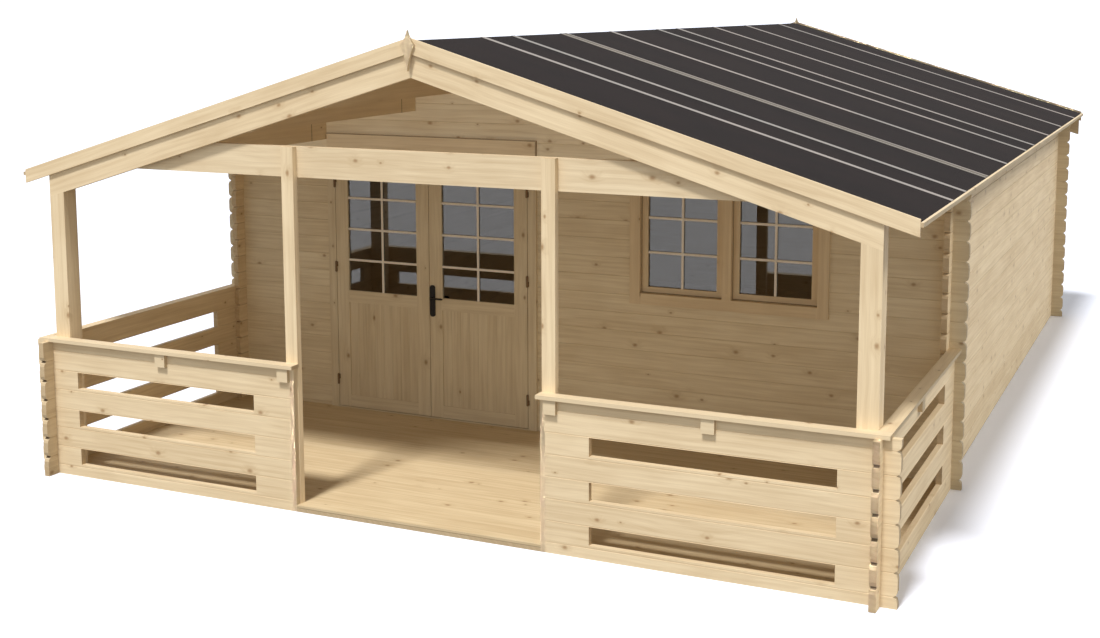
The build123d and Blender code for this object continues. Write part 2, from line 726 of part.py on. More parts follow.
def finial(y0):
    """Flat board pointed above and below, with hollow edges, where the two fascias meet."""
    half = FINIAL_WIDTH / 2
    wide = FINIAL_TOP - FINIAL_POINT
    corners = [(0, FINIAL_TOP), (half, wide), (0, FINIAL_TOP - FINIAL_HEIGHT), (-half, wide)]
    edges = []
    for start, end in zip(corners, corners[1:] + corners[:1]):
        bow = bowed(start, end, 0)
        points = [(x, y0, z) for x, z in (start, bow, end)]
        edges.append(ThreePointArc(*points))
    return extrude(make_face(edges), amount=FINIAL_THICK, dir=(0, 1, 0))


def pieces():
    """Every node's name with its solid or solids."""
    right = {
        "right_wall": side_wall(),
        "right_roof_boards": roof_boards(),
        "right_front_rafter": rafter(RAFTER_FRONT, RAFTER_THICK),
        "right_front_fascia": fascia(FASCIA_FRONT),
        "right_rear_rafter": rafter(ROOF_REAR - REAR_RAFTER_THICK, REAR_RAFTER_THICK),
        "right_rear_fascia": fascia(ROOF_REAR),
        "right_front_fence": front_fence(),
        "right_side_fence": side_fence(),
    }
    made = {}
    for name, shape in right.items():
        made[name] = shape
        made["left" + name[len("right"):]] = other_side(shape)
    made["floor_bearers"] = floor_bearers()
    made["veranda_floor"] = veranda_floor()
    made["cabin_floor"] = cabin_floor()
    made["front_wall_left"] = front_wall_left()
    made["front_wall_right"] = front_wall_right()
    made["front_gable"] = gable((FRONT_FACE, FRONT_INSIDE), (True, False))
    made["rear_wall"] = rear_wall()
    made["rear_gable"] = gable((REAR_INSIDE, REAR_FACE), (False, True))
    made["purlins"] = [purlin(x) for x in purlin_centres()]
    made["roof_felt"] = roof_felt()
    made["eave_boards"] = both_sides(eave_board())
    made["front_caps"] = both_sides(front_cap())
    made["side_caps"] = both_sides(side_cap())
    made["veranda_posts"] = both_sides(corner_post()) + both_sides(middle_post())
    made["tie_beam"] = tie_beam()
    made["trim_boards"] = both_sides(end_board()) + [head_board()]
    made["finials"] = [finial(FASCIA_FRONT - FINIAL_THICK), finial(ROOF_REAR + FASCIA_THICK)]
    made["door_frame"] = door_frame()
    made["door_leaf_left"] = door_leaf(-1)
    made["door_leaf_right"] = door_leaf(1) - lever_bore()
    made["door_glass_left"] = door_glass(-1)
    made["door_glass_right"] = door_glass(1)
    made["frame_hinges"] = frame_hinges()
    made["leaf_hinges_left"] = leaf_hinges(-1)
    made["leaf_hinges_right"] = leaf_hinges(1)
    made["handle_plates"] = handle_plates()
    made["lever_handles"] = lever()
    made["window_frame"] = window_frame()
    made["window_glass"] = window_glass()
    return made


def write(name, shape):
    solids = shape if isinstance(shape, list) else [shape]
    back = Pos(0, -PLAN_MIDDLE, 0)
    flat = [back * solid for piece in solids for solid in piece.solids()]
    whole = flat[0] if len(flat) == 1 else Compound(children=flat)
    export_step(whole, os.path.join("parts", name + ".step"))


os.makedirs("parts", exist_ok=True)
for node, shape in pieces().items():
    write(node, shape)
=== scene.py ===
"""Looks of the log cabin: timber, felt and glass, the fine joinery, light and camera."""

import json

import bpy
import numpy as np
from bpy.props import FloatProperty, FloatVectorProperty, IntProperty, PointerProperty
from mathutils import Matrix, Vector

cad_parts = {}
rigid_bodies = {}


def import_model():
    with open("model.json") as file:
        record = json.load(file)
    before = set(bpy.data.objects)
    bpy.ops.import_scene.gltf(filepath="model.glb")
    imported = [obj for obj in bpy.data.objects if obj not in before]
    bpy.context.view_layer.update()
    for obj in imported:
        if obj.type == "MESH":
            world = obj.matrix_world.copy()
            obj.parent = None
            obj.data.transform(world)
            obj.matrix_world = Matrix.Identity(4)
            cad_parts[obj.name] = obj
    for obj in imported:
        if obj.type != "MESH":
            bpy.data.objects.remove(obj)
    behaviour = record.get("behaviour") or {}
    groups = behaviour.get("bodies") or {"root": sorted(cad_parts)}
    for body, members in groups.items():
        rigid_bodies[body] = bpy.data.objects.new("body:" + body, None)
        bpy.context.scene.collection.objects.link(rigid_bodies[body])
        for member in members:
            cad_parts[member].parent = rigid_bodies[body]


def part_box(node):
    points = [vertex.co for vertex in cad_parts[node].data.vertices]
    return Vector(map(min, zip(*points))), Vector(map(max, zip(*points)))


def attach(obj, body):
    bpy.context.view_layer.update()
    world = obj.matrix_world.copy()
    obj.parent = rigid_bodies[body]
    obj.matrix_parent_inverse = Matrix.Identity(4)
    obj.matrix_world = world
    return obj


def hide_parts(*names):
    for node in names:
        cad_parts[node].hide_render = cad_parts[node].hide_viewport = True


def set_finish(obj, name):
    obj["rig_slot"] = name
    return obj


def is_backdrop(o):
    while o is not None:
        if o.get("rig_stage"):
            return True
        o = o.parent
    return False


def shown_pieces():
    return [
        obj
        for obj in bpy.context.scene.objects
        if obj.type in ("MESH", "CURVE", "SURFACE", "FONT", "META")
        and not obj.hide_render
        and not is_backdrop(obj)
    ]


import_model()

bl_info = {
    "name": "Log cabin looks",
    "version": (1, 0, 0),
    "blender": (4, 5, 0),
    "location": "3D View > Sidebar > Cabin",
    "description": "Dresses the log cabin with procedural timber, felt, glass and fine joinery",
    "category": "Object",
}

# Distance from the frame's origin to the veranda's front face, along Y.
FRONT = 4.2705

# Cover height of a log, pitch of the roof and floor boards, fall of the roof for each metre.
LOG = 0.135
BOARD = 0.096
ROOF_SLOPE = 0.3021

# The door leaves' hinge pins: places across, place in depth, and the knuckles' middles.
HINGES_X = (-1.9215, -0.2445)
HINGES_Y = -2.1165
HINGE_HEIGHTS = (0.275, 1.187, 1.862)
KNUCKLE_REACH = 0.038

# The recessed panel in a door leaf: its foot, its height and how deep it lies.
PANEL_FOOT = 0.151
PANEL_HEIGHT = 0.755
PANEL_DEPTH = 0.008

# Middle of a side fence from the axis, and places in depth: the window casing's face and
# the purlins' joints.
FENCE_MIDDLE = 2.873
CASING_FACE = -2.0865
PURLIN_JOINT = 1.975 - FRONT

# Width of the glass that shows in each of the two windows.
WINDOW_SIGHT = 0.52

# A level glazing bar's depth as a share of an upright one's, so that their faces don't meet.
LEVEL_BAR_DEPTH = 0.94

# Where the felt's strips cross the roof, in metres behind the veranda's front face.
STRIP_PLACES = (0.99, 1.445, 3.19, 4.24, 4.73, 5.72, 6.73, 7.90)
WIDE_STRIP_PLACE = 2.285
STRIP_BITE = 0.0004  # How far the strips are let into the felt.

# How far other thin pieces are let into the face that they lie on.
BITE = 0.0005

# Corners round a turned piece or a lever.
ROUND = 20


# Meshes


def mesh_object(name, points, faces, finish, body, slot, smooth=False):
    """Makes one object at the origin from arrays of points and faces."""
    mesh = bpy.data.meshes.new(name)
    mesh.from_pydata(points.reshape(-1, 3).tolist(), [], faces)
    mesh.polygons.foreach_set("use_smooth", np.full(len(mesh.polygons), smooth))
    mesh.materials.append(finish)
    mesh.update()
    made = bpy.data.objects.new(name, mesh)
    bpy.context.collection.objects.link(made)
    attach(made, body)
    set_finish(made, slot)
    return made


def mouldings(profile, starts, ends, across):
    """Straight lengths of one moulding, all at once.

    A closed profile (u, v), anticlockwise, is carried from each start to its end:
    point = place + u * across + v * up, where up = direction x across.
    """
    starts, ends = (np.atleast_2d(places).astype(float) for places in (starts, ends))
    way = ends - starts
    way /= np.linalg.norm(way, axis=1, keepdims=True)
    across = np.broadcast_to(np.asarray(across, float), starts.shape)
    up = np.cross(way, across)
    profile = np.asarray(profile, float)
    if profile.ndim == 2:
        profile = np.broadcast_to(profile, (len(starts),) + profile.shape)
    ring = profile[:, :, :1] * across[:, None] + profile[:, :, 1:] * up[:, None]
    points = np.stack([starts[:, None] + ring, ends[:, None] + ring], axis=1)
    count, corners = profile.shape[:2]
    first = np.arange(count)[:, None] * 2 * corners
    here = np.arange(corners)[None]
    nxt = (here + 1) % corners
    sides = np.stack(
        [first + here, first + nxt, first + corners + nxt, first + corners + here], axis=-1,
    ).reshape(-1, 4)
    starts_caps = first + here[:, ::-1]
    ends_caps = first + corners + here
    return points, sides.tolist() + starts_caps.tolist() + ends_caps.tolist()


def chamfered(width, height, cut):
    """A rectangle about (0, 0) whose four corners are cut at 45 degrees, anticlockwise."""
    w, h = width / 2, height / 2
    half = np.array([(w - cut, -h), (w, -h + cut), (w, h - cut), (w - cut, h)])
    return np.concatenate([half, -half])


def joined(parts):
    """Several (points, faces) pairs as one, each pair's faces shifted past the points before."""
    points, faces, base = [], [], 0
    for some, these in parts:
        flat = some.reshape(-1, 3)
        points.append(flat)
        faces += [[base + corner for corner in face] for face in these]
        base += len(flat)
    return np.concatenate(points), faces


def grid_faces(rows, columns, loop):
    """Quads of a grid of points, its rows closed into rings where loop is true."""
    r = np.arange(rows - 1)[:, None]
    c = np.arange(columns if loop else columns - 1)[None]
    n = (c + 1) % columns
    here, below = r * columns, (r + 1) * columns
    return np.stack([here + c, here + n, below + n, below + c], axis=-1).reshape(-1, 4).tolist()


def turned(profile, foot, axis, sides=ROUND):
    """A closed turned shape: the radius r at height h, carried round the axis from its foot.

    point = foot + h * axis + r (cos a * p + sin a * q), where p and q stand across the axis.
    """
    axis = np.asarray(axis, float)
    p = np.array([axis[2], axis[0], axis[1]])
    q = np.cross(axis, p)
    profile = np.asarray(profile, float)
    a = np.linspace(0, 2 * np.pi, sides, endpoint=False)
    ring = np.cos(a)[:, None] * p + np.sin(a)[:, None] * q
    points = np.asarray(foot) + profile[:, 1, None, None] * axis + profile[:, :1, None] * ring
    last = (len(profile) - 1) * sides
    caps = [list(range(sides))[::-1], list(range(last, last + sides))]
    return points, grid_faces(len(profile), sides, True) + caps


def reshaped(node, name, move, body="cabin", slot="spruce"):
    """Replaces a CAD piece by a copy: its equal points are merged, then sent through move."""
    mesh = bpy.data.objects[node].data
    points = np.empty(len(mesh.vertices) * 3, np.float32)
    mesh.vertices.foreach_get("co", points)
    corners = np.empty(len(mesh.loops), np.int32)
    mesh.loops.foreach_get("vertex_index", corners)
    points, same = np.unique(np.round(points.reshape(-1, 3), 5), axis=0, return_inverse=True)
    faces = same.reshape(-1)[corners].reshape(-1, 3)
    made = mesh_object(name, move(points), faces.tolist(), mesh.materials[0], body, slot)
    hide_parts(node)


# Shader trees


class Tree:
    """Places shader nodes in one tree and joins their sockets."""

    def __init__(self, tree):
        self.tree = tree

    def put(self, kind, sockets=None, **settings):
        made = self.tree.nodes.new("ShaderNode" + kind)
        for name, value in settings.items():
            setattr(made, name, value)
        for name, value in (sockets or {}).items():
            self.join(value, made.inputs[name])
        return made

    def join(self, value, socket):
        if isinstance(value, bpy.types.NodeSocket):
            self.tree.links.new(value, socket)
        else:
            socket.default_value = value

    def math(self, operation, a, b=0.0, c=0.0, clamp=False):
        made = self.put("Math", {0: a, 1: b, 2: c}, operation=operation, use_clamp=clamp)
        return made.outputs[0]

    def times(self, a, b, plus=None):
        """a * b, or a * b + plus."""
        if plus is None:
            return self.math("MULTIPLY", a, b)
        return self.math("MULTIPLY_ADD", a, b, plus)

    def less(self, a, b):
        return self.math("SUBTRACT", a, b)

    def fade(self, value, low, high):
        """0 below low, 1 above high and smooth between; the two may be swapped."""
        made = self.put(
            "MapRange", {"Value": value, "From Min": low, "From Max": high},
            interpolation_type="SMOOTHSTEP",
        )
        return made.outputs["Result"]

    def mix(self, factor, a, b, blend="MIX"):
        made = self.put("Mix", data_type="RGBA", blend_type=blend)
        for socket, value in ((0, factor), (6, a), (7, b)):
            self.join(value, made.inputs[socket])
        return made.outputs[2]

    def blend(self, factor, a, b):
        made = self.put("Mix", data_type="FLOAT")
        for socket, value in ((0, factor), (2, a), (3, b)):
            self.join(value, made.inputs[socket])
        return made.outputs[0]

    def vector(self, x, y, z):
        return self.put("CombineXYZ", {0: x, 1: y, 2: z}).outputs[0]

    def noise(self, vector, detail=2.0, roughness=0.5):
        made = self.put(
            "TexNoise", {"Vector": vector, "Scale": 1.0, "Detail": detail, "Roughness": roughness},
        )
        return made.outputs[0]


def surface(name):
    """A new material; returns it, its tree, its Principled shader and the coordinates."""
    material = bpy.data.materials.new(name)
    material.use_nodes = True
    t = Tree(material.node_tree)
    shader = material.node_tree.nodes["Principled BSDF"]
    return material, t, shader, t.put("TexCoord").outputs


def new_group(name, inputs, outputs):
    """An empty node group with named sockets; returns the group, its tree and both ends."""
    group = bpy.data.node_groups.new(name, "ShaderNodeTree")
    kinds = {"value": "NodeSocketFloat", "colour": "NodeSocketColor", "vector": "NodeSocketVector"}
    for title, kind, default in inputs:
        made = group.interface.new_socket(title, in_out="INPUT", socket_type=kinds[kind])
        if default is not None:
            made.default_value = default
    for title, kind in outputs:
        group.interface.new_socket(title, in_out="OUTPUT", socket_type=kinds[kind])
    tree = Tree(group)
    ends = group.nodes.new("NodeGroupInput").outputs, group.nodes.new("NodeGroupOutput").inputs
    return group, tree, ends[0], ends[1]


def timber_group():
    """Softwood seen along the grain: growth lines, streaks, fibres and knots.

    The growth lines are the level lines of v + noise, drawn out along the grain and
    pushed aside round each knot. Every board number shifts the whole pattern.
    """
    # Lots for one knot each, counted per metre along the grain and across it.
    knots_along, knots_across = 2.7, 8.3
    group, t, given, out = new_group(
        "timber_grain",
        [("Along", "value", 0.0), ("Across", "value", 0.0), ("Board", "value", 0.0),
         ("Pale", "colour", (0.8, 0.6, 0.4, 1)), ("Dark", "colour", (0.6, 0.4, 0.2, 1)),
         ("Knot", "colour", (0.3, 0.15, 0.07, 1)), ("Contrast", "value", 0.5),
         ("Knots", "value", 0.4), ("Tone Spread", "value", 0.1)],
        [("Color", "colour"), ("Roughness", "value"), ("Height", "value")],
    )
    chance = t.put("TexWhiteNoise", {"W": given["Board"]}, noise_dimensions="1D")
    part = t.put("SeparateColor", {0: chance.outputs["Color"]}).outputs
    u = t.times(part[0], 43.0, given["Along"])
    v = t.times(part[1], 17.0, given["Across"])
    lot_place = t.vector(t.times(u, knots_along), t.times(v, knots_across), 0.0)
    cells = t.put(
        "TexVoronoi", {"Vector": lot_place, "Scale": 1.0, "Randomness": 1.0},
        voronoi_dimensions="2D",
    )
    centre = t.put("SeparateXYZ", {0: cells.outputs["Position"]}).outputs
    lot = t.put("SeparateColor", {0: cells.outputs["Color"]}).outputs
    du = t.less(u, t.math("DIVIDE", centre[0], knots_along))
    dv = t.less(v, t.math("DIVIDE", centre[1], knots_across))
    ragged = t.noise(t.vector(t.times(u, 70.0), t.times(v, 110.0), 0.0), 1.0)
    along_squared = t.math("POWER", t.times(du, 0.7), 2.0)
    away = t.math("SQRT", t.math("ADD", along_squared, t.math("POWER", dv, 2.0)))
    away = t.times(t.less(ragged, 0.5), 0.005, away)
    size = t.times(lot[0], 0.009, 0.0045)
    there = t.math("LESS_THAN", lot[1], given["Knots"])
    knot = t.times(t.fade(t.math("DIVIDE", away, size), 1.7, 0.6), there)
    ring = t.times(t.fade(t.math("DIVIDE", away, size), 5.0, 0.9), there)
    flow = t.noise(t.vector(t.times(u, 1.1), t.times(v, 6.5), part[2]), 2.0)
    drift = t.times(ring, 0.35, t.times(flow, 1.6))
    level = t.times(v, 11.0, drift)
    broad = t.math("SINE", t.times(level, 14.0))
    broad = t.math("POWER", t.times(broad, 0.5, 0.5), 2.0)
    close = t.math("SINE", t.times(level, 47.0))
    close = t.math("POWER", t.times(close, 0.5, 0.5), 1.5)
    streak = t.noise(t.vector(t.times(u, 1.3), t.times(v, 42.0), part[2]), 3.0, 0.6)
    fibre = t.noise(t.vector(t.times(u, 9.0), t.times(v, 520.0), part[2]), 2.0, 0.6)
    blotch = t.noise(t.vector(t.times(u, 2.2), t.times(v, 5.0), part[0]), 2.0)
    grain = t.times(broad, 0.22)
    grain = t.times(close, 0.12, grain)
    grain = t.times(t.fade(streak, 0.32, 0.68), 0.55, grain)
    grain = t.times(t.fade(fibre, 0.25, 0.8), 0.2, grain)
    grain = t.times(t.fade(blotch, 0.35, 0.65), 0.35, grain)
    grain = t.times(ring, 0.4, grain)
    tone = t.times(grain, given["Contrast"])
    shift = t.less(part[2], 0.5)
    tone = t.math("MULTIPLY_ADD", shift, given["Tone Spread"], tone, clamp=True)
    colour = t.mix(tone, given["Pale"], given["Dark"])
    core = t.fade(t.math("DIVIDE", away, size), 0.15, 1.1)
    shade = t.times(knot, t.times(core, -0.35, 0.85))
    t.join(t.mix(shade, colour, given["Knot"]), out["Color"])
    rough = t.times(streak, 0.2, 0.5)
    t.join(t.times(knot, -0.12, rough), out["Roughness"])
    height = t.times(close, -0.25, t.times(fibre, 0.5))
    t.join(t.times(knot, 0.5, height), out["Height"])
    return group


def seam_group():
    """Boards laid side by side: the board's number and a dark line at each joint.

    Number = floor((Across - Start) / Pitch); the line is 1 at the joint and fades out
    over its width on both sides.
    """
    group, t, given, out = new_group(
        "board_seams",
        [("Across", "value", 0.0), ("Start", "value", 0.0), ("Pitch", "value", LOG),
         ("Width", "value", 0.004), ("Seed", "value", 0.0)],
        [("Board", "value"), ("Seam", "value")],
    )
    steps = t.math("DIVIDE", t.less(given["Across"], given["Start"]), given["Pitch"])
    number = t.math("FLOOR", steps)
    t.join(t.times(number, 1.37, given["Seed"]), out["Board"])
    beside = t.math("ABSOLUTE", t.less(steps, t.math("ROUND", steps)))
    metres = t.times(beside, given["Pitch"])
    seam = t.fade(metres, given["Width"], t.times(given["Width"], 0.15))
    t.join(seam, out["Seam"])
    return group


# The wood's colours, before each finish's tint.
PALE = (0.83, 0.675, 0.45)
DARK = (0.64, 0.485, 0.295)
KNOT = (0.36, 0.215, 0.105)

# Boxes (low x, high x, low z, high z) of the level members of the door and the windows.
DOOR_RAILS = [
    (-1.81, -1.1945, 0.05, 0.151), (-1.81, -1.1945, 0.906, 1.001), (-1.81, -1.1945, 1.985, 2.05),
    (-0.9715, -0.356, 0.05, 0.151), (-0.9715, -0.356, 0.906, 1.001),
    (-0.9715, -0.356, 1.985, 2.05), (-1.93, -0.24, 2.0445, 2.2), (-1.93, -0.24, -0.1, 0.054),
]
HEAD_BOARD = (-1.993, -0.173, 2.0925, 2.2445)
SASHES = [(0.652, 1.272, 1.17, 2.0925), (1.338, 1.958, 1.17, 2.0925)]
WINDOW_RAILS = [(0.66, 1.95, 1.0, 1.2155), (0.66, 1.95, 1.9725, 2.2)]

# For each run of the grain: how far x, y and z count along it, and across it.
TILT = float(np.arctan(ROOF_SLOPE))
RUNS = {
    "x_wall": ((1, 0, 0), (0, 0.3, 1)),
    "y_wall": ((0, 1, 0), (0.3, 0, 1)),
    "x": ((1, 0, 0), (0, 1, 1)),
    "y": ((0, 1, 0), (1, 0, 1)),
    "z": ((0, 0, 1), (1, 1, 0)),
    "right_slope": ((np.cos(TILT), 0, -np.sin(TILT)), (np.sin(TILT), 1, np.cos(TILT))),
    "left_slope": ((np.cos(TILT), 0, np.sin(TILT)), (-np.sin(TILT), 1, np.cos(TILT))),
    "right_deck": ((np.cos(TILT), 0, -np.sin(TILT)), (0, 1, 0)),
    "left_deck": ((np.cos(TILT), 0, np.sin(TILT)), (0, 1, 0)),
}


def inside(t, axes, low_x, high_x, low_z, high_z):
    """1 where x and z lie between the limits."""
    mask = t.math("GREATER_THAN", axes[0], low_x)
    for test, axis, limit in (
        ("LESS_THAN", 0, high_x), ("GREATER_THAN", 2, low_z), ("LESS_THAN", 2, high_z),
    ):
        mask = t.times(mask, t.math(test, axes[axis], limit))
    return mask


def timber(name, run, seams=None, tint=1.0, knots=0.3, contrast=0.75, spread=0.25, seed=0.0,
           painted_shade_and_joints=None, rails=()):
    """Planed spruce whose grain runs one way, with growth rings on the faces that end it.

    seams gives (axis, start, pitch, width, depth) of the boards' joints. The darkening mask is
    made from the tree and the object coordinates: painted shade in gaps and under edges, and
    the purlins' dark joint lines. rails gives boxes (low x, high x, low z, high z) in which the
    grain of upright timber turns level.
    The rings are the level lines of b + 4 a a, a and b being measured across the piece.
    """
    material, t, shader, coordinates = surface(name)
    place = coordinates["Object"]
    axes = t.put("SeparateXYZ", {0: place}).outputs
    ways = [Vector(way) for way in RUNS[run]]
    along, across, deep, facing = (
        t.put("VectorMath", {0: what, 1: way}, operation="DOT_PRODUCT").outputs["Value"]
        for what, way in (
            (place, ways[0]), (place, ways[1]), (place, ways[0].cross(ways[1].normalized())),
            (coordinates["Normal"], ways[0]),
        )
    )
    level = None
    for box in rails:
        mask = inside(t, axes, *box)
        level = mask if level is None else t.math("MAXIMUM", level, mask)
    if level is not None:
        along = t.blend(level, along, axes[0])
        across = t.blend(level, across, axes[2])
    grain = t.put("Group", node_tree=bpy.data.node_groups["timber_grain"])
    t.join(along, grain.inputs["Along"])
    t.join(across, grain.inputs["Across"])
    for title, value in (("Pale", PALE), ("Dark", DARK), ("Knot", KNOT)):
        grain.inputs[title].default_value = [*(np.array(value) * tint), 1]
    for title, value in (("Contrast", contrast), ("Knots", knots), ("Tone Spread", spread)):
        grain.inputs[title].default_value = value
    colour, height = grain.outputs["Color"], grain.outputs["Height"]
    if seams:
        axis, start, pitch, width, depth = seams
        boards = t.put("Group", node_tree=bpy.data.node_groups["board_seams"])
        t.join(axes["xyz".index(axis)], boards.inputs["Across"])
        for title, value in (("Start", start), ("Pitch", pitch), ("Width", width), ("Seed", seed)):
            boards.inputs[title].default_value = value
        t.join(boards.outputs["Board"], grain.inputs["Board"])
        line = boards.outputs["Seam"]
        colour = t.mix(t.times(line, depth), colour, (0.2, 0.11, 0.05, 1))
        height = t.times(line, -6.0 * depth, height)
    else:
        grain.inputs["Board"].default_value = seed
    off = t.math("DIVIDE", across, LOG)
    off = t.times(t.less(t.math("FRACT", off), 0.35), LOG)
    rings = t.times(t.times(off, off), 4.0, deep)
    rings = t.math("SINE", t.times(rings, 1500.0, t.times(height, 1.5)))
    rings = t.times(t.fade(rings, -0.6, 0.9), 0.22, 0.24)
    ended = t.fade(t.math("ABSOLUTE", facing), 0.9, 0.97)
    colour = t.mix(t.times(rings, ended), colour, (0.42, 0.27, 0.13, 1))
    # Painted shade in gaps and under edges, and the purlins' dark joint lines, in one dark mix.
    if painted_shade_and_joints:
        colour = t.mix(painted_shade_and_joints(t, axes), colour, (0.085, 0.045, 0.02, 1))
    bump = t.put("Bump", {"Strength": 0.2, "Distance": 0.0012, "Height": height})
    t.join(colour, shader.inputs["Base Color"])
    t.join(grain.outputs["Roughness"], shader.inputs["Roughness"])
    t.join(bump.outputs[0], shader.inputs["Normal"])
    shader.inputs["Specular IOR Level"].default_value = 0.16
    return material


def felt(name, base, speckle):
    """Mineral felt: fine granules of two greys, faint rolled bands and a grainy surface."""
    material, t, shader, coordinates = surface(name)
    place = coordinates["Object"]
    grit = t.put("TexNoise", {"Vector": place, "Scale": 700.0, "Detail": 2.0}).outputs[0]
    cloud = t.put("TexNoise", {"Vector": place, "Scale": 2.3, "Detail": 4.0}).outputs[0]
    drawn = t.put("VectorMath", {0: place, 1: (0.5, 3.0, 0.5)}, operation="MULTIPLY").outputs[0]
    band = t.put("TexNoise", {"Vector": drawn, "Scale": 1.0, "Detail": 2.0}).outputs[0]
    tone = t.mix(t.fade(grit, 0.35, 0.7), (*base, 1), (*speckle, 1))
    low = t.times(cloud, 0.5, t.times(band, 0.5))
    tone = t.mix(t.fade(low, 0.35, 0.65), tone, (1.18, 1.12, 1.1, 1), "MULTIPLY")
    t.join(tone, shader.inputs["Base Color"])
    t.join(t.times(grit, 0.12, 0.82), shader.inputs["Roughness"])
    bump = t.put("Bump", {"Strength": 0.5, "Distance": 0.0008, "Height": grit})
    t.join(bump.outputs[0], shader.inputs["Normal"])
    shader.inputs["Specular IOR Level"].default_value = 0.03
    return material


def glazing(name):
    """Smoky double glazing, which mirrors twice as much as one pane, with faint wiped streaks."""
    material, t, shader, coordinates = surface(name)
    place = coordinates["Object"]
    wiped = t.put("TexNoise", {"Vector": place, "Scale": 9.0, "Detail": 3.0}).outputs[0]
    t.join(t.times(t.fade(wiped, 0.45, 0.8), 0.03), shader.inputs["Roughness"])
    shader.inputs["Base Color"].default_value = (0.42, 0.41, 0.43, 1)
    shader.inputs["Transmission Weight"].default_value = 1.0
    shader.inputs["IOR"].default_value = 1.75
    return material


def ironwork(name, low, high):
    """Lacquered metal, which shows its lacquer's colour, a little worn and cloudy."""
    material, t, shader, coordinates = surface(name)
    place = coordinates["Object"]
    cloud = t.put("TexNoise", {"Vector": place, "Scale": 60.0, "Detail": 4.0}).outputs[0]
    t.join(t.mix(cloud, (*low, 1), (*high, 1)), shader.inputs["Base Color"])
    t.join(t.times(cloud, 0.25, 0.36), shader.inputs["Roughness"])
    shader.inputs["Specular IOR Level"].default_value = 0.18
    return material


def bar_shade_strips(name):
    """Painted shade: dark strips behind the glass that draw the shade lines round the glazing bars,
    their tone a little uneven.
    """
    material, t, shader, coordinates = surface(name)
    place = coordinates["Object"]
    cloud = t.put("TexNoise", {"Vector": place, "Scale": 90.0, "Detail": 3.0}).outputs[0]
    tone = t.mix(cloud, (0.012, 0.009, 0.007, 1), (0.03, 0.024, 0.018, 1))
    t.join(tone, shader.inputs["Base Color"])
    t.join(t.times(cloud, 0.2, 0.6), shader.inputs["Roughness"])
    return material


def fence_end_joint_shade(t, axes):
    """Painted shade: 1 in the small gaps between the logs on the side fences' front ends, where
    shade falls in the notches.

    Each gap is 14% of a log high and 32 mm wide, and lies in the middle of the fence's end.
    """
    up = t.math("DIVIDE", axes[2], LOG)
    gap = t.math("ABSOLUTE", t.less(up, t.math("ROUND", up)))
    aside = t.math("ABSOLUTE", t.less(t.math("ABSOLUTE", axes[0]), FENCE_MIDDLE))
    mask = t.times(t.math("LESS_THAN", gap, 0.07), t.math("GREATER_THAN", axes[2], 0.07))
    wide = t.times(t.math("LESS_THAN", aside, 0.016), t.math("LESS_THAN", axes[2], 0.88))
    at_end = t.math("LESS_THAN", axes[1], -FRONT - 0.065)
    return t.times(t.times(t.times(mask, wide), at_end), 0.75)


def floor_edge_shade(t, axes):
    """Painted shadow: 1 on the line under the floor boards' front edge."""
    low = t.fade(axes[2], 0.0295, 0.0275)
    in_front = t.math("LESS_THAN", axes[1], -FRONT + 0.002)
    return t.times(t.times(low, in_front), 0.5)


def head_board_shade(t, axes):
    """Painted shade: 1 along the head board's top edge and its right-hand end, where the gap lies
    in shade.
    """
    low_x, high_x, low_z, high_z = HEAD_BOARD
    board = inside(t, axes, low_x, high_x + 0.001, low_z, high_z + 0.001)
    top = t.fade(axes[2], high_z - 0.008, high_z - 0.004)
    end = t.fade(axes[0], high_x - 0.009, high_x - 0.005)
    return t.times(t.times(board, t.math("MAXIMUM", top, end)), 0.6)


def sash_gap_shade(t, axes):
    """Painted shade: 1 in the gap round each sash, dark at its foot and its left side, fainter at
    its right side.
    """
    line = None
    for left, right, foot, head in SASHES:
        gaps = (
            (left, left + 0.006, foot, head, 0.6), (right - 0.005, right, foot, head, 0.3),
            (left, right, foot, foot + 0.007, 0.7),
        )
        for *box, depth in gaps:
            gap = t.times(inside(t, axes, *box), depth)
            line = gap if line is None else t.math("MAXIMUM", line, gap)
    return t.times(line, t.math("GREATER_THAN", axes[1], CASING_FACE))


def purlin_joint(t, axes):
    """1 on the dark line where each purlin's veranda length meets the length over the wall."""
    off = t.math("ABSOLUTE", t.less(axes[1], PURLIN_JOINT))
    return t.times(t.fade(off, 0.006, 0.002), 0.8)


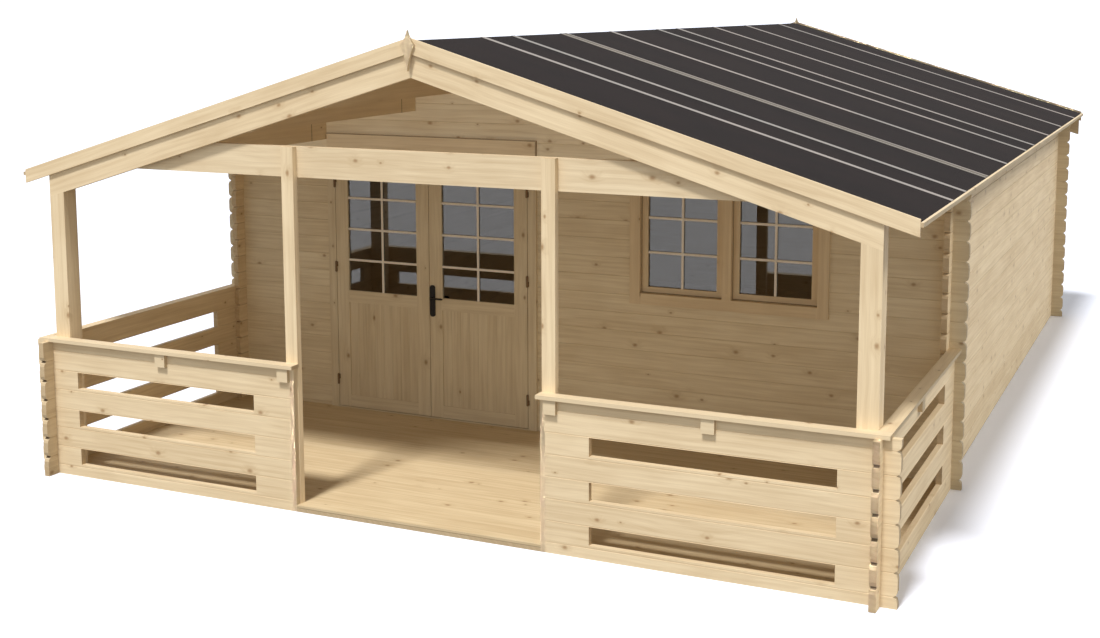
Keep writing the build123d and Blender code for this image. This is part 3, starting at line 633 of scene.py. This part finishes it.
def make_finishes():
    """All materials, by name."""
    timber_group()
    seam_group()
    # The cool tints of these panels, of logs_across and of door_timber are painted shade colour for
    # the walls and the door under the veranda's roof; the rear walls share the logs' tint.
    panels = {"contrast": 0.7, "knots": 0.2, "spread": 0.3, "tint": (0.95, 1.0, 1.06)}
    made = [
        timber("logs_across", "x_wall", ("z", LOG / 2, LOG, 0.004, 0.08), seed=7.0,
               tint=(1.07, 1.14, 1.22)),
        timber("logs_along", "y_wall", ("z", 0.0, LOG, 0.006, 0.34), seed=11.0, knots=0.4),
        timber("fence_across", "x_wall", ("z", LOG / 2, LOG, 0.003, 0.06), seed=21.0, spread=0.15,
               tint=0.99, knots=0.42),
        timber("fence_along", "y_wall", ("z", 0.0, LOG, 0.003, 0.1), seed=23.0, spread=0.15,
               painted_shade_and_joints=fence_end_joint_shade),
        timber("boards_across", "x", seed=31.0, tint=(0.99, 1.0, 1.02), knots=0.4),
        timber("cap_boards", "x", seed=33.0, contrast=0.35, knots=0.2, tint=0.9),
        timber("boards_along", "y", seed=37.0, contrast=0.6),
        timber("purlin_timber", "y", seed=39.0, contrast=0.5, painted_shade_and_joints=purlin_joint),
        timber("boards_upright", "z", seed=41.0, tint=0.99, knots=0.4),
        timber("trim_timber", "z", seed=42.0, tint=0.97, rails=[HEAD_BOARD], painted_shade_and_joints=head_board_shade),
        timber("door_timber", "z", seed=43.0, contrast=0.7, knots=0.25, tint=(0.95, 1.0, 1.06),
               rails=DOOR_RAILS),
        timber("window_timber", "z", seed=45.0, contrast=0.6, knots=0.2, rails=WINDOW_RAILS,
               painted_shade_and_joints=sash_gap_shade),
        timber("left_panel_boards", "z", ("x", -1.81, 0.0769, 0.002, 0.0), seed=47.0, **panels),
        timber("right_panel_boards", "z", ("x", -0.9715, 0.0769, 0.002, 0.0), seed=49.0, **panels),
        timber("bar_timber", "z", seed=50.0, contrast=0.3, knots=0.0, tint=(1.15, 1.32, 1.75)),
        timber("right_gable_boards", "right_slope", seed=51.0, tint=1.03, knots=0.4),
        timber("left_gable_boards", "left_slope", seed=53.0, tint=1.03, knots=0.4),
        timber("right_deck_boards", "right_deck", ("y", 0.0, BOARD, 0.005, 0.5), seed=61.0),
        timber("left_deck_boards", "left_deck", ("y", 0.0, BOARD, 0.005, 0.5), seed=67.0),
        timber("floor_boards", "x", ("y", 0.085 - FRONT, BOARD, 0.003, 0.25), seed=71.0,
               knots=0.25, tint=(0.81, 0.79, 0.74), painted_shade_and_joints=floor_edge_shade),
        timber("bearer_timber", "y", seed=79.0, tint=0.9),
        felt("felt_grey", (0.017, 0.0144, 0.0147), (0.0352, 0.0304, 0.03)),
        felt("felt_strip", (0.35, 0.33, 0.31), (0.44, 0.415, 0.39)),
        felt("dull_strip", (0.165, 0.15, 0.127), (0.22, 0.20, 0.17)),
        glazing("clear_glass"),
        ironwork("black_iron", (0.007, 0.0045, 0.0028), (0.015, 0.01, 0.006)),
        ironwork("brown_iron", (0.16, 0.10, 0.052), (0.28, 0.18, 0.095)),
        bar_shade_strips("dark_seal"),
    ]
    return {material.name: material for material in made}


# The CAD pieces that each finish is for.
CAD_FINISHES = {
    "logs_along": ("left_wall", "right_wall"),
    "logs_across": (
        "front_wall_left", "front_wall_right", "front_gable", "rear_wall", "rear_gable",
    ),
    "fence_across": ("left_front_fence", "right_front_fence"),
    "fence_along": ("left_side_fence", "right_side_fence"),
    "cap_boards": ("front_caps",),
    "boards_along": ("side_caps", "eave_boards"),
    "trim_timber": ("trim_boards",),
    "boards_across": ("tie_beam",),
    "boards_upright": ("veranda_posts", "finials"),
    "purlin_timber": ("purlins",),
    "left_gable_boards": (
        "left_front_rafter", "left_front_fascia", "left_rear_rafter", "left_rear_fascia",
    ),
    "right_gable_boards": (
        "right_front_rafter", "right_front_fascia", "right_rear_rafter", "right_rear_fascia",
    ),
    "left_deck_boards": ("left_roof_boards",),
    "right_deck_boards": ("right_roof_boards",),
    "felt_grey": ("roof_felt",),
    "floor_boards": ("veranda_floor", "cabin_floor"),
    "bearer_timber": ("floor_bearers",),
    "door_timber": ("door_frame", "door_leaf_left", "door_leaf_right"),
    "window_timber": ("window_frame",),
    "clear_glass": ("door_glass_left", "door_glass_right", "window_glass"),
    "brown_iron": ("frame_hinges", "leaf_hinges_left", "leaf_hinges_right"),
    "black_iron": ("handle_plates", "lever_handles"),
}

# Finishes that the plain sun lights, and the starts of the names of the pieces that other
# lamps light or, for FRONT_OF_ROOMS, are blocked by.
PLAIN_FINISHES = ("felt_grey", "clear_glass", "black_iron", "brown_iron")
RIGHT_PIECES = ("right_wall", "right_side_fence", "veranda_posts")
FRONT_PIECES = (
    "left_front", "right_front", "left_rafter", "right_rafter", "front_caps", "side_caps",
    "veranda_posts", "tie_beam", "finials",
)
SHELTERED_PIECES = (
    "front_gable", "purlins", "left_roof_boards", "right_roof_boards", "trim_boards",
)
FRONT_OF_ROOMS = ("front_gable", "front_wall", "door_frame", "door_leaf", "window_frame")
REAR_PIECES = ("rear_wall", "rear_gable", "left_rear", "right_rear", "finials")


class CabinJoinery(bpy.types.PropertyGroup):
    """Sizes of the fine joinery."""

    bar_width: FloatProperty(
        name="Bar Width", description="Width of a glazing bar", default=0.018, unit="LENGTH",
    )
    door_boards: IntProperty(
        name="Door Boards", description="Upright boards in each door leaf's panel", default=8,
    )
    plate_rise: FloatProperty(
        name="Plate Rise", description="How much further the handle plates reach up",
        default=0.034, unit="LENGTH",
    )
    strip_width: FloatProperty(
        name="Strip Width", description="Width of a roof strip", default=0.05, unit="LENGTH",
    )
    wide_strip: FloatProperty(
        name="Wide Strip", description="Width of the wide roof strip", default=0.125,
        unit="LENGTH",
    )
    eave_height: FloatProperty(
        name="Eave Height", description="Height of the thin board along each eave", default=0.024,
        unit="LENGTH",
    )
    strip_thickness: FloatProperty(
        name="Strip Thickness", description="Thickness of a roof strip", default=0.003,
        unit="LENGTH",
    )


class CabinCamera(bpy.types.PropertyGroup):
    """Where the camera stands and how wide it sees."""

    place: FloatVectorProperty(
        name="Place", description="Camera position", size=3, subtype="XYZ",
        default=(4.509, -12.0523, 3.2379),
    )
    turn: FloatProperty(
        name="Turn", description="Heading, anticlockwise from +Y", default=0.4305, subtype="ANGLE",
    )
    tilt: FloatProperty(
        name="Tilt", description="Pitch above level", default=-0.1355, subtype="ANGLE",
    )
    roll: FloatProperty(
        name="Roll", description="Roll about the line of sight", default=-0.0026, subtype="ANGLE",
    )
    lens: FloatProperty(name="Lens", description="Focal length on a 36 mm sensor", default=49.0)
    rise: FloatProperty(name="Rise", description="Vertical shift of the lens", default=-0.1)


class CabinLight(bpy.types.PropertyGroup):
    """The soft sky, the sun and the fills."""

    sky: FloatProperty(name="Sky", description="Brightness of the soft sky", default=0.45)
    sky_colour: FloatVectorProperty(
        name="Sky Colour", description="Colour of the soft sky", size=3, subtype="COLOR",
        default=(0.98, 0.98, 0.97),
    )
    sky_mirrored: FloatProperty(
        name="Sky Mirrored", description="Brightness of the sky in the glass", default=1.52,
    )
    backdrop: FloatProperty(
        name="Backdrop", description="Brightness of the backdrop that the camera sees",
        default=1.1,
    )
    way: FloatVectorProperty(
        name="Sun Way", description="Which way the sunlight travels", size=3, subtype="DIRECTION",
        default=(0.04, 0.5, -0.865),
    )
    softness: FloatProperty(
        name="Softness", description="Angle that the sun fills", default=0.16, subtype="ANGLE",
    )
    warm_sun: FloatProperty(
        name="Warm Sun", description="Strength of the sun on the timber", default=3.05,
    )
    boards_sun: FloatProperty(
        name="Boards Sun", description="Strength of the sun on the floor boards", default=3.75,
    )
    warm_colour: FloatVectorProperty(
        name="Warm Colour", description="Colour of the sun on the timber", size=3, subtype="COLOR",
        default=(0.98, 0.98, 0.98),
    )
    plain_sun: FloatProperty(
        name="Plain Sun", description="Strength of the sun on all that isn't timber", default=2.8,
    )
    fill: FloatProperty(
        name="Fill", description="Strength of the broad light from the right", default=1.9,
    )
    fill_colour: FloatVectorProperty(
        name="Fill Colour", description="Colour of the broad light", size=3, subtype="COLOR",
        default=(1.0, 0.99, 0.97),
    )
    fill_way: FloatVectorProperty(
        name="Fill Way", description="Which way the broad light travels", size=3,
        subtype="DIRECTION", default=(-0.6, 0.03, -0.8),
    )
    front: FloatProperty(
        name="Front", description="Strength of the broad light from the front", default=0.65,
    )
    front_way: FloatVectorProperty(
        name="Front Way", description="Which way the light from the front travels", size=3,
        subtype="DIRECTION", default=(0.0, 0.9, -0.43),
    )
    under_roof: FloatProperty(
        name="Under Roof", description="Strength of the soft light under the veranda's roof",
        default=0.56,
    )
    under_roof_way: FloatVectorProperty(
        name="Under Roof Way", description="Which way that light travels", size=3,
        subtype="DIRECTION", default=(0.0, 0.9, 0.4),
    )
    rim: FloatProperty(name="Rim", description="Strength of the light on the rear", default=1.4)
    rim_way: FloatVectorProperty(
        name="Rim Way", description="Which way the light on the rear travels", size=3,
        subtype="DIRECTION", default=(0.25, -0.62, -0.74),
    )
    floor_colour: FloatVectorProperty(
        name="Floor Colour", description="Colour of the floor as the camera sees it", size=3,
        subtype="COLOR", default=(1.04, 1.08, 1.2),
    )
    floor_mirrored: FloatProperty(
        name="Floor Mirrored", description="How bright the floor is in the glass", default=1.1,
    )
    floor_bounce: FloatProperty(
        name="Floor Bounce", description="Share of light that the floor throws back", default=0.25,
    )


class CABIN_OT_finishes(bpy.types.Operator):
    """Make the timber, felt, glass and metal, and give each CAD piece its own."""

    bl_idname = "cabin.finishes"
    bl_label = "Finishes"

    def execute(self, context):
        finishes = make_finishes()
        for finish, nodes in CAD_FINISHES.items():
            for node in nodes:
                mesh = bpy.data.objects[node].data
                mesh.materials.clear()
                mesh.materials.append(finishes[finish])
        return {"FINISHED"}


class CABIN_OT_glazing_bars(bpy.types.Operator):
    """Put the glazing bars in the doors and the windows, on both sides of the glass."""

    bl_idname = "cabin.glazing_bars"
    bl_label = "Glazing Bars"

    def execute(self, context):
        width = context.scene.cabin_joinery.bar_width
        wood = bpy.data.materials["bar_timber"]
        tape = bpy.data.materials["dark_seal"]

        def bars(name, body, node, deep, columns, rows, panes):
            """Cut-cornered bars that split each pane evenly, on both faces, and thin dark strips
            behind them as painted shade.
            """
            low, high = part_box(node)
            bar, strip = chamfered(width, deep, 0.004), chamfered(width + 0.004, 0.0009, 0.0002)
            parts, bar_shades = [], []
            for left, right in panes:
                x = np.linspace(left, right, columns + 1)[1:-1]
                z = np.linspace(low.z, high.z, rows + 1)[1:-1]

                def upright(profile, y):
                    feet = np.stack([x, np.full_like(x, y), np.full_like(x, low.z)], 1)
                    return mouldings(profile, feet, feet + (0, 0, high.z - low.z), (1, 0, 0))

                def level(profile, y):
                    feet = np.stack([np.full_like(z, left), np.full_like(z, y), z], 1)
                    return mouldings(profile, feet, feet + (right - left, 0, 0), (0, 0, 1))

                # Dark strips on the glass's back face, a little wider than the bars: painted shade
                # round the bars.
                bar_shades += [upright(strip, high.y + 0.0004), level(strip, high.y + 0.0006)]
                for y in (low.y - deep / 2, high.y + deep / 2):
                    parts += [upright(bar, y), level(bar * (1, LEVEL_BAR_DEPTH), y)]
            points, faces = joined(parts)
            mesh_object(name, points, faces, wood, body, "spruce")
            points, faces = joined(bar_shades)
            mesh_object(name.replace("bars", "tape"), points, faces, tape, body, "black_metal")

        for side in ("left", "right"):
            low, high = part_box("door_glass_" + side)
            bars("door_bars_" + side, "door_" + side, "door_glass_" + side, 0.013, 2, 4,
                 [(low.x, high.x)])
        low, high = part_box("window_glass")
        bars("window_bars", "cabin", "window_glass", 0.014, 2, 3,
             [(low.x, low.x + WINDOW_SIGHT), (high.x - WINDOW_SIGHT, high.x)])
        return {"FINISHED"}


class CABIN_OT_door_boards(bpy.types.Operator):
    """Line the door leaves' lower panels with upright boards on both faces."""

    bl_idname = "cabin.door_boards"
    bl_label = "Door Boards"

    def execute(self, context):
        count = context.scene.cabin_joinery.door_boards
        for side in ("left", "right"):
            wood = bpy.data.materials[side + "_panel_boards"]
            low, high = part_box("door_glass_" + side)
            leaf_low, leaf_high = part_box("door_leaf_" + side)
            edges = np.linspace(low.x, high.x, count + 1)
            centres = (edges[:-1] + edges[1:]) / 2
            pitch = edges[1] - edges[0]
            thick = 0.004
            profile = chamfered(pitch - 0.0006, thick, 0.0035)
            # The cuts of both faces meet at half the thickness.
            profile[:, 1] = np.where(np.abs(profile[:, 1]) < thick / 2 - 1e-6, 0, profile[:, 1])
            sunk = PANEL_DEPTH - BITE
            parts = []
            for y in (leaf_low.y + sunk, leaf_high.y - sunk):
                feet = np.stack(
                    [centres, np.full_like(centres, y), np.full_like(centres, PANEL_FOOT)], 1)
                parts.append(mouldings(profile, feet, feet + (0, 0, PANEL_HEIGHT), (1, 0, 0)))
            points, faces = joined(parts)
            mesh_object("door_boards_" + side, points, faces, wood, "door_" + side, "spruce")
        return {"FINISHED"}


class CABIN_OT_door_furniture(bpy.types.Operator):
    """Make the levers, the tall plates with screws and lock cylinders and the hinges' caps."""

    bl_idname = "cabin.door_furniture"
    bl_label = "Door Furniture"

    def execute(self, context):
        iron = bpy.data.materials["black_iron"]
        low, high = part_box("lever_handles")
        plate_low, plate_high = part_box("handle_plates")
        middle = (low.z + high.z) / 2
        hub = low.x + 0.01  # Half a lever's width in from its square end.
        rise = context.scene.cabin_joinery.plate_rise
        above_hub = middle + 0.02
        reshaped("handle_plates", "tall_handle_plates",
                 lambda points: points + np.outer(points[:, 2] > above_hub, (0, 0, rise)),
                 "door_right", "black_metal")
        steps = np.linspace(0.003, 0.997, 33)
        full = np.sqrt(1 - np.abs(2 * steps - 1) ** 9)
        swell = 1 - 0.25 * steps + 0.12 * np.cos(steps * np.pi) ** 2
        swell /= swell.max()
        a = np.linspace(0, 2 * np.pi, ROUND, endpoint=False)
        half_deep, half_high = 0.006, 0.01
        parts = []
        # A grip is a row of ovals: y = half depth * size * cos a, z = half height * size * sin a.
        for side, face in ((-1, low.y), (1, high.y)):
            centre = face - side * half_deep
            x = low.x + (high.x - low.x) * steps
            y = centre + side * half_deep * np.outer(full * swell, np.cos(a))
            z = middle + side * half_high * np.outer(full * swell, np.sin(a))
            points = np.stack([np.repeat(x[:, None], ROUND, 1), y, z], -1)
            last = (len(steps) - 1) * ROUND
            caps = [list(range(ROUND))[::-1], list(range(last, last + ROUND))]
            parts.append((points, grid_faces(len(steps), ROUND, True) + caps))
        reach = np.linspace(low.y + 0.005, high.y - 0.005, 41)
        off = np.minimum(np.abs(reach - plate_low.y), np.abs(reach - plate_high.y))
        beyond = (reach < plate_low.y) | (reach > plate_high.y)
        radius = 0.0072 + 0.0024 * np.exp(-((off / 0.004) ** 2)) * beyond
        neck = np.stack([radius, reach], 1)
        parts.append(turned(neck, (hub, 0.0, middle), (0, 1, 0)))
        points, faces = joined(parts)
        levers = mesh_object("rounded_levers", points, faces, iron, "door_lever", "black_metal",
                             smooth=True)
        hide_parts("lever_handles")
        dome = [(0.0042, -BITE), (0.0042, 0.0002), (0.0038, 0.0008), (0.0026, 0.0013),
                (0.001, 0.0015)]
        barrel = [(0.0085, -BITE), (0.0085, 0.0012), (0.0078, 0.002), (0.0045, 0.0022),
                  (0.0042, 0.0014), (0.0012, 0.0012)]
        screw_inset, lock_drop = 0.02, 0.072
        parts = []
        for side, face in ((-1, plate_low.y), (1, plate_high.y)):
            for z in (plate_low.z + screw_inset, plate_high.z + rise - screw_inset):
                parts.append(turned(dome, (hub, face, z), (0, side, 0)))
            parts.append(turned(barrel, (hub, face, middle - lock_drop), (0, side, 0)))
        points, faces = joined(parts)
        mesh_object("plate_screws", points, faces, iron, "door_right", "black_metal", smooth=True)
        cap = [(0.0088, -0.001), (0.0088, 0.001), (0.0075, 0.0035), (0.0045, 0.0055),
               (0.001, 0.006)]
        points, faces = joined([
            turned(cap, (x, HINGES_Y, z + way * KNUCKLE_REACH), (0, 0, way))
            for x in HINGES_X for z in HINGE_HEIGHTS for way in (-1, 1)
        ])
        mesh_object("hinge_caps", points, faces, bpy.data.materials["brown_iron"], "cabin",
                    "black_metal", smooth=True)
        return {"FINISHED"}


class CABIN_OT_roof_strips(bpy.types.Operator):
    """Lay the pale strips over the felt's joints, from the ridge down to both eaves."""

    bl_idname = "cabin.roof_strips"
    bl_label = "Roof Strips"

    def execute(self, context):
        sizes = context.scene.cabin_joinery
        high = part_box("roof_felt")[1]
        run = high.x * 0.9995  # The strips stop just short of the felt's edge.

        def strips(name, finish, places, width, thick):
            """Cut-cornered strips at the places along Y, on both sides of the roof."""
            places = np.asarray(places) - FRONT
            tops = np.stack([np.zeros_like(places), places, np.full_like(places, high.z)], 1)
            tops[:, 2] += thick / 2 - STRIP_BITE
            parts = [
                mouldings(chamfered(width, thick, thick * 0.3), tops,
                          tops + (side * run, 0, -ROOF_SLOPE * run), (0, -side, 0))
                for side in (-1, 1)
            ]
            points, faces = joined(parts)
            mesh_object(name, points, faces, bpy.data.materials[finish], "cabin", "felt")

        thick = sizes.strip_thickness
        strips("roof_strips", "felt_strip", STRIP_PLACES, sizes.strip_width, thick)
        strips("wide_strip", "dull_strip", [WIDE_STRIP_PLACE], sizes.wide_strip, thick)
        edge = sizes.wide_strip * 0.36
        edges = [WIDE_STRIP_PLACE - edge, WIDE_STRIP_PLACE + edge]
        strips("wide_strip_edges", "felt_strip", edges, 0.012, thick + 0.001)
        return {"FINISHED"}


class CABIN_OT_roof_edges(bpy.types.Operator):
    """End the front rafters at the corner posts, and slim the boards along the eaves."""

    bl_idname = "cabin.roof_edges"
    bl_label = "Roof Edges"

    def execute(self, context):
        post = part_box("veranda_posts")[1].x

        def ended(points):
            """Points beyond the post slide up the slope to its outer face."""
            beyond = np.maximum(np.abs(points[:, 0]) - post, 0)
            return points + np.stack(
                [-np.sign(points[:, 0]) * beyond, 0 * beyond, ROOF_SLOPE * beyond], 1)

        for side in ("left", "right"):
            reshaped(side + "_front_rafter", side + "_rafter_at_posts", ended)
        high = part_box("eave_boards")[1]
        height = context.scene.cabin_joinery.eave_height
        reshaped("eave_boards", "eave_strips",
                 lambda points: np.maximum(points, (-np.inf, -np.inf, high.z - height)))
        return {"FINISHED"}


class CABIN_OT_stage(bpy.types.Operator):
    """Add the pale floor, the soft sky, the sun and the camera."""

    bl_idname = "cabin.stage"
    bl_label = "Stage"

    def execute(self, context):
        light = context.scene.cabin_light
        view = context.scene.cabin_camera
        world = bpy.data.worlds.new("soft_sky")
        world.use_nodes = True
        t = Tree(world.node_tree)
        ray = t.put("LightPath").outputs
        back = world.node_tree.nodes["Background"].inputs
        white = (1.0, 1.0, 1.0)
        sky = (*light.sky_colour, 1.0)
        t.join(t.mix(ray["Is Camera Ray"], sky, (*white, 1.0)), back["Color"])
        gain = t.blend(ray["Is Glossy Ray"], light.sky, light.sky_mirrored)
        t.join(t.blend(ray["Is Camera Ray"], gain, light.backdrop), back["Strength"])
        context.scene.world = world
        material = bpy.data.materials.new("pale_floor")
        material.use_nodes = True
        t = Tree(material.node_tree)
        material.node_tree.nodes.remove(material.node_tree.nodes["Principled BSDF"])
        ray = t.put("LightPath").outputs
        mirrored, dull = (
            [value] * 3 + [1.0] for value in (light.floor_mirrored, light.floor_bounce)
        )
        pale = (*light.floor_colour, 1.0)
        tone = t.mix(ray["Is Glossy Ray"], dull, mirrored)
        matt = t.put("BsdfDiffuse", {"Color": t.mix(ray["Is Camera Ray"], tone, pale)})
        t.join(matt.outputs[0], material.node_tree.nodes["Material Output"].inputs["Surface"])
        reach = 400.0
        corners = np.array([(-1, -1, 0), (1, -1, 0), (1, 1, 0), (-1, 1, 0)]) * reach
        ground = bpy.data.meshes.new("pale_floor")
        ground.from_pydata(corners.tolist(), [], [[0, 1, 2, 3]])
        ground.materials.append(material)
        floor = bpy.data.objects.new("pale_floor", ground)
        context.collection.objects.link(floor)
        floor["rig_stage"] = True
        shown = [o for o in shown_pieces() if o.type == "MESH"]
        plain = [o for o in shown if o.get("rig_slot", "") in ("felt", "glass")]
        plain += [bpy.data.objects[n] for f in PLAIN_FINISHES for n in CAD_FINISHES[f]]
        plain = [floor, *dict.fromkeys(plain)]
        timbers = [o for o in shown if o not in plain]
        boards = [o for o in timbers if o.name == "veranda_floor"]
        upright = [o for o in timbers if o not in boards]
        right_side = [o for o in timbers if o.name.startswith(RIGHT_PIECES)]
        front = [o for o in timbers if o.name.startswith(FRONT_PIECES)]
        rear = [o for o in shown if o.name.startswith(REAR_PIECES)]
        sheltered = [o for o in shown if o.name.startswith(SHELTERED_PIECES)]
        sunny = light.way, light.softness
        for name, power, colour, (way, angle), lit in (
            ("warm_sun", light.warm_sun, light.warm_colour, sunny, upright),
            ("boards_sun", light.boards_sun, light.warm_colour, sunny, boards),
            ("plain_sun", light.plain_sun, white, sunny, plain),
            ("fill", light.fill, light.fill_colour, (light.fill_way, 0.3), right_side),
            ("front", light.front, light.fill_colour, (light.front_way, 1.0), front),
            ("rim", light.rim, white, (light.rim_way, 0.6), rear),
            ("under_roof", light.under_roof, white, (light.under_roof_way, 0.6), sheltered),
        ):
            lamp = bpy.data.objects.new(name, bpy.data.lights.new(name, "SUN"))
            lamp.data.energy = power
            lamp.data.color = colour
            lamp.data.angle = angle
            lamp.rotation_euler = Vector(way).to_track_quat("-Z", "Y").to_euler()
            context.collection.objects.link(lamp)
            group = bpy.data.collections.new("lit_by_" + name)
            for piece in lit:
                group.objects.link(piece)
            lamp.light_linking.receiver_collection = group
            if name == "under_roof":
                shades = bpy.data.collections.new("shading_" + name)
                for piece in shown:
                    if piece.name.startswith(FRONT_OF_ROOMS):
                        shades.objects.link(piece)
                lamp.light_linking.blocker_collection = shades
        camera = bpy.data.objects.new("camera", bpy.data.cameras.new("camera"))
        context.collection.objects.link(camera)
        c, s = np.cos(view.turn), np.sin(view.turn)
        cp, sp = np.cos(view.tilt), np.sin(view.tilt)
        ahead = np.array([-s * cp, c * cp, sp])
        right = np.array([c, s, 0.0])
        up = np.cross(right, ahead)
        cr, sr = np.cos(view.roll), np.sin(view.roll)
        right, up = cr * right + sr * up, cr * up - sr * right
        grid = np.eye(4)
        grid[:3, 0], grid[:3, 1], grid[:3, 2], grid[:3, 3] = right, up, -ahead, view.place
        camera.matrix_world = Matrix(grid.tolist())
        camera.data.lens = view.lens
        camera.data.sensor_width = 36.0
        camera.data.shift_y = view.rise
        camera.data.clip_end = 1000.0
        context.scene.camera = camera
        context.scene.view_settings.view_transform = "Standard"
        return {"FINISHED"}


class CABIN_PT_looks(bpy.types.Panel):
    """The cabin's operators, in the order in which they run."""

    bl_idname = "CABIN_PT_looks"
    bl_label = "Cabin"
    bl_space_type = "VIEW_3D"
    bl_region_type = "UI"
    bl_category = "Cabin"

    def draw(self, context):
        for step in STEPS:
            self.layout.operator(step.bl_idname)


STEPS = (
    CABIN_OT_finishes,
    CABIN_OT_glazing_bars,
    CABIN_OT_door_boards,
    CABIN_OT_door_furniture,
    CABIN_OT_roof_strips,
    CABIN_OT_roof_edges,
    CABIN_OT_stage,
)
CLASSES = (CabinJoinery, CabinCamera, CabinLight) + STEPS + (CABIN_PT_looks,)


def register():
    for cls in CLASSES:
        bpy.utils.register_class(cls)
    bpy.types.Scene.cabin_joinery = PointerProperty(type=CabinJoinery)
    bpy.types.Scene.cabin_camera = PointerProperty(type=CabinCamera)
    bpy.types.Scene.cabin_light = PointerProperty(type=CabinLight)


def unregister():
    del bpy.types.Scene.cabin_light
    del bpy.types.Scene.cabin_camera
    del bpy.types.Scene.cabin_joinery
    for cls in reversed(CLASSES):
        bpy.utils.unregister_class(cls)


def main():
    register()
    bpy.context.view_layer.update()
    bpy.ops.cabin.finishes()
    bpy.ops.cabin.glazing_bars()
    bpy.ops.cabin.door_boards()
    bpy.ops.cabin.door_furniture()
    bpy.ops.cabin.roof_strips()
    bpy.ops.cabin.roof_edges()
    bpy.ops.cabin.stage()


if __name__ == "__main__":
    main()
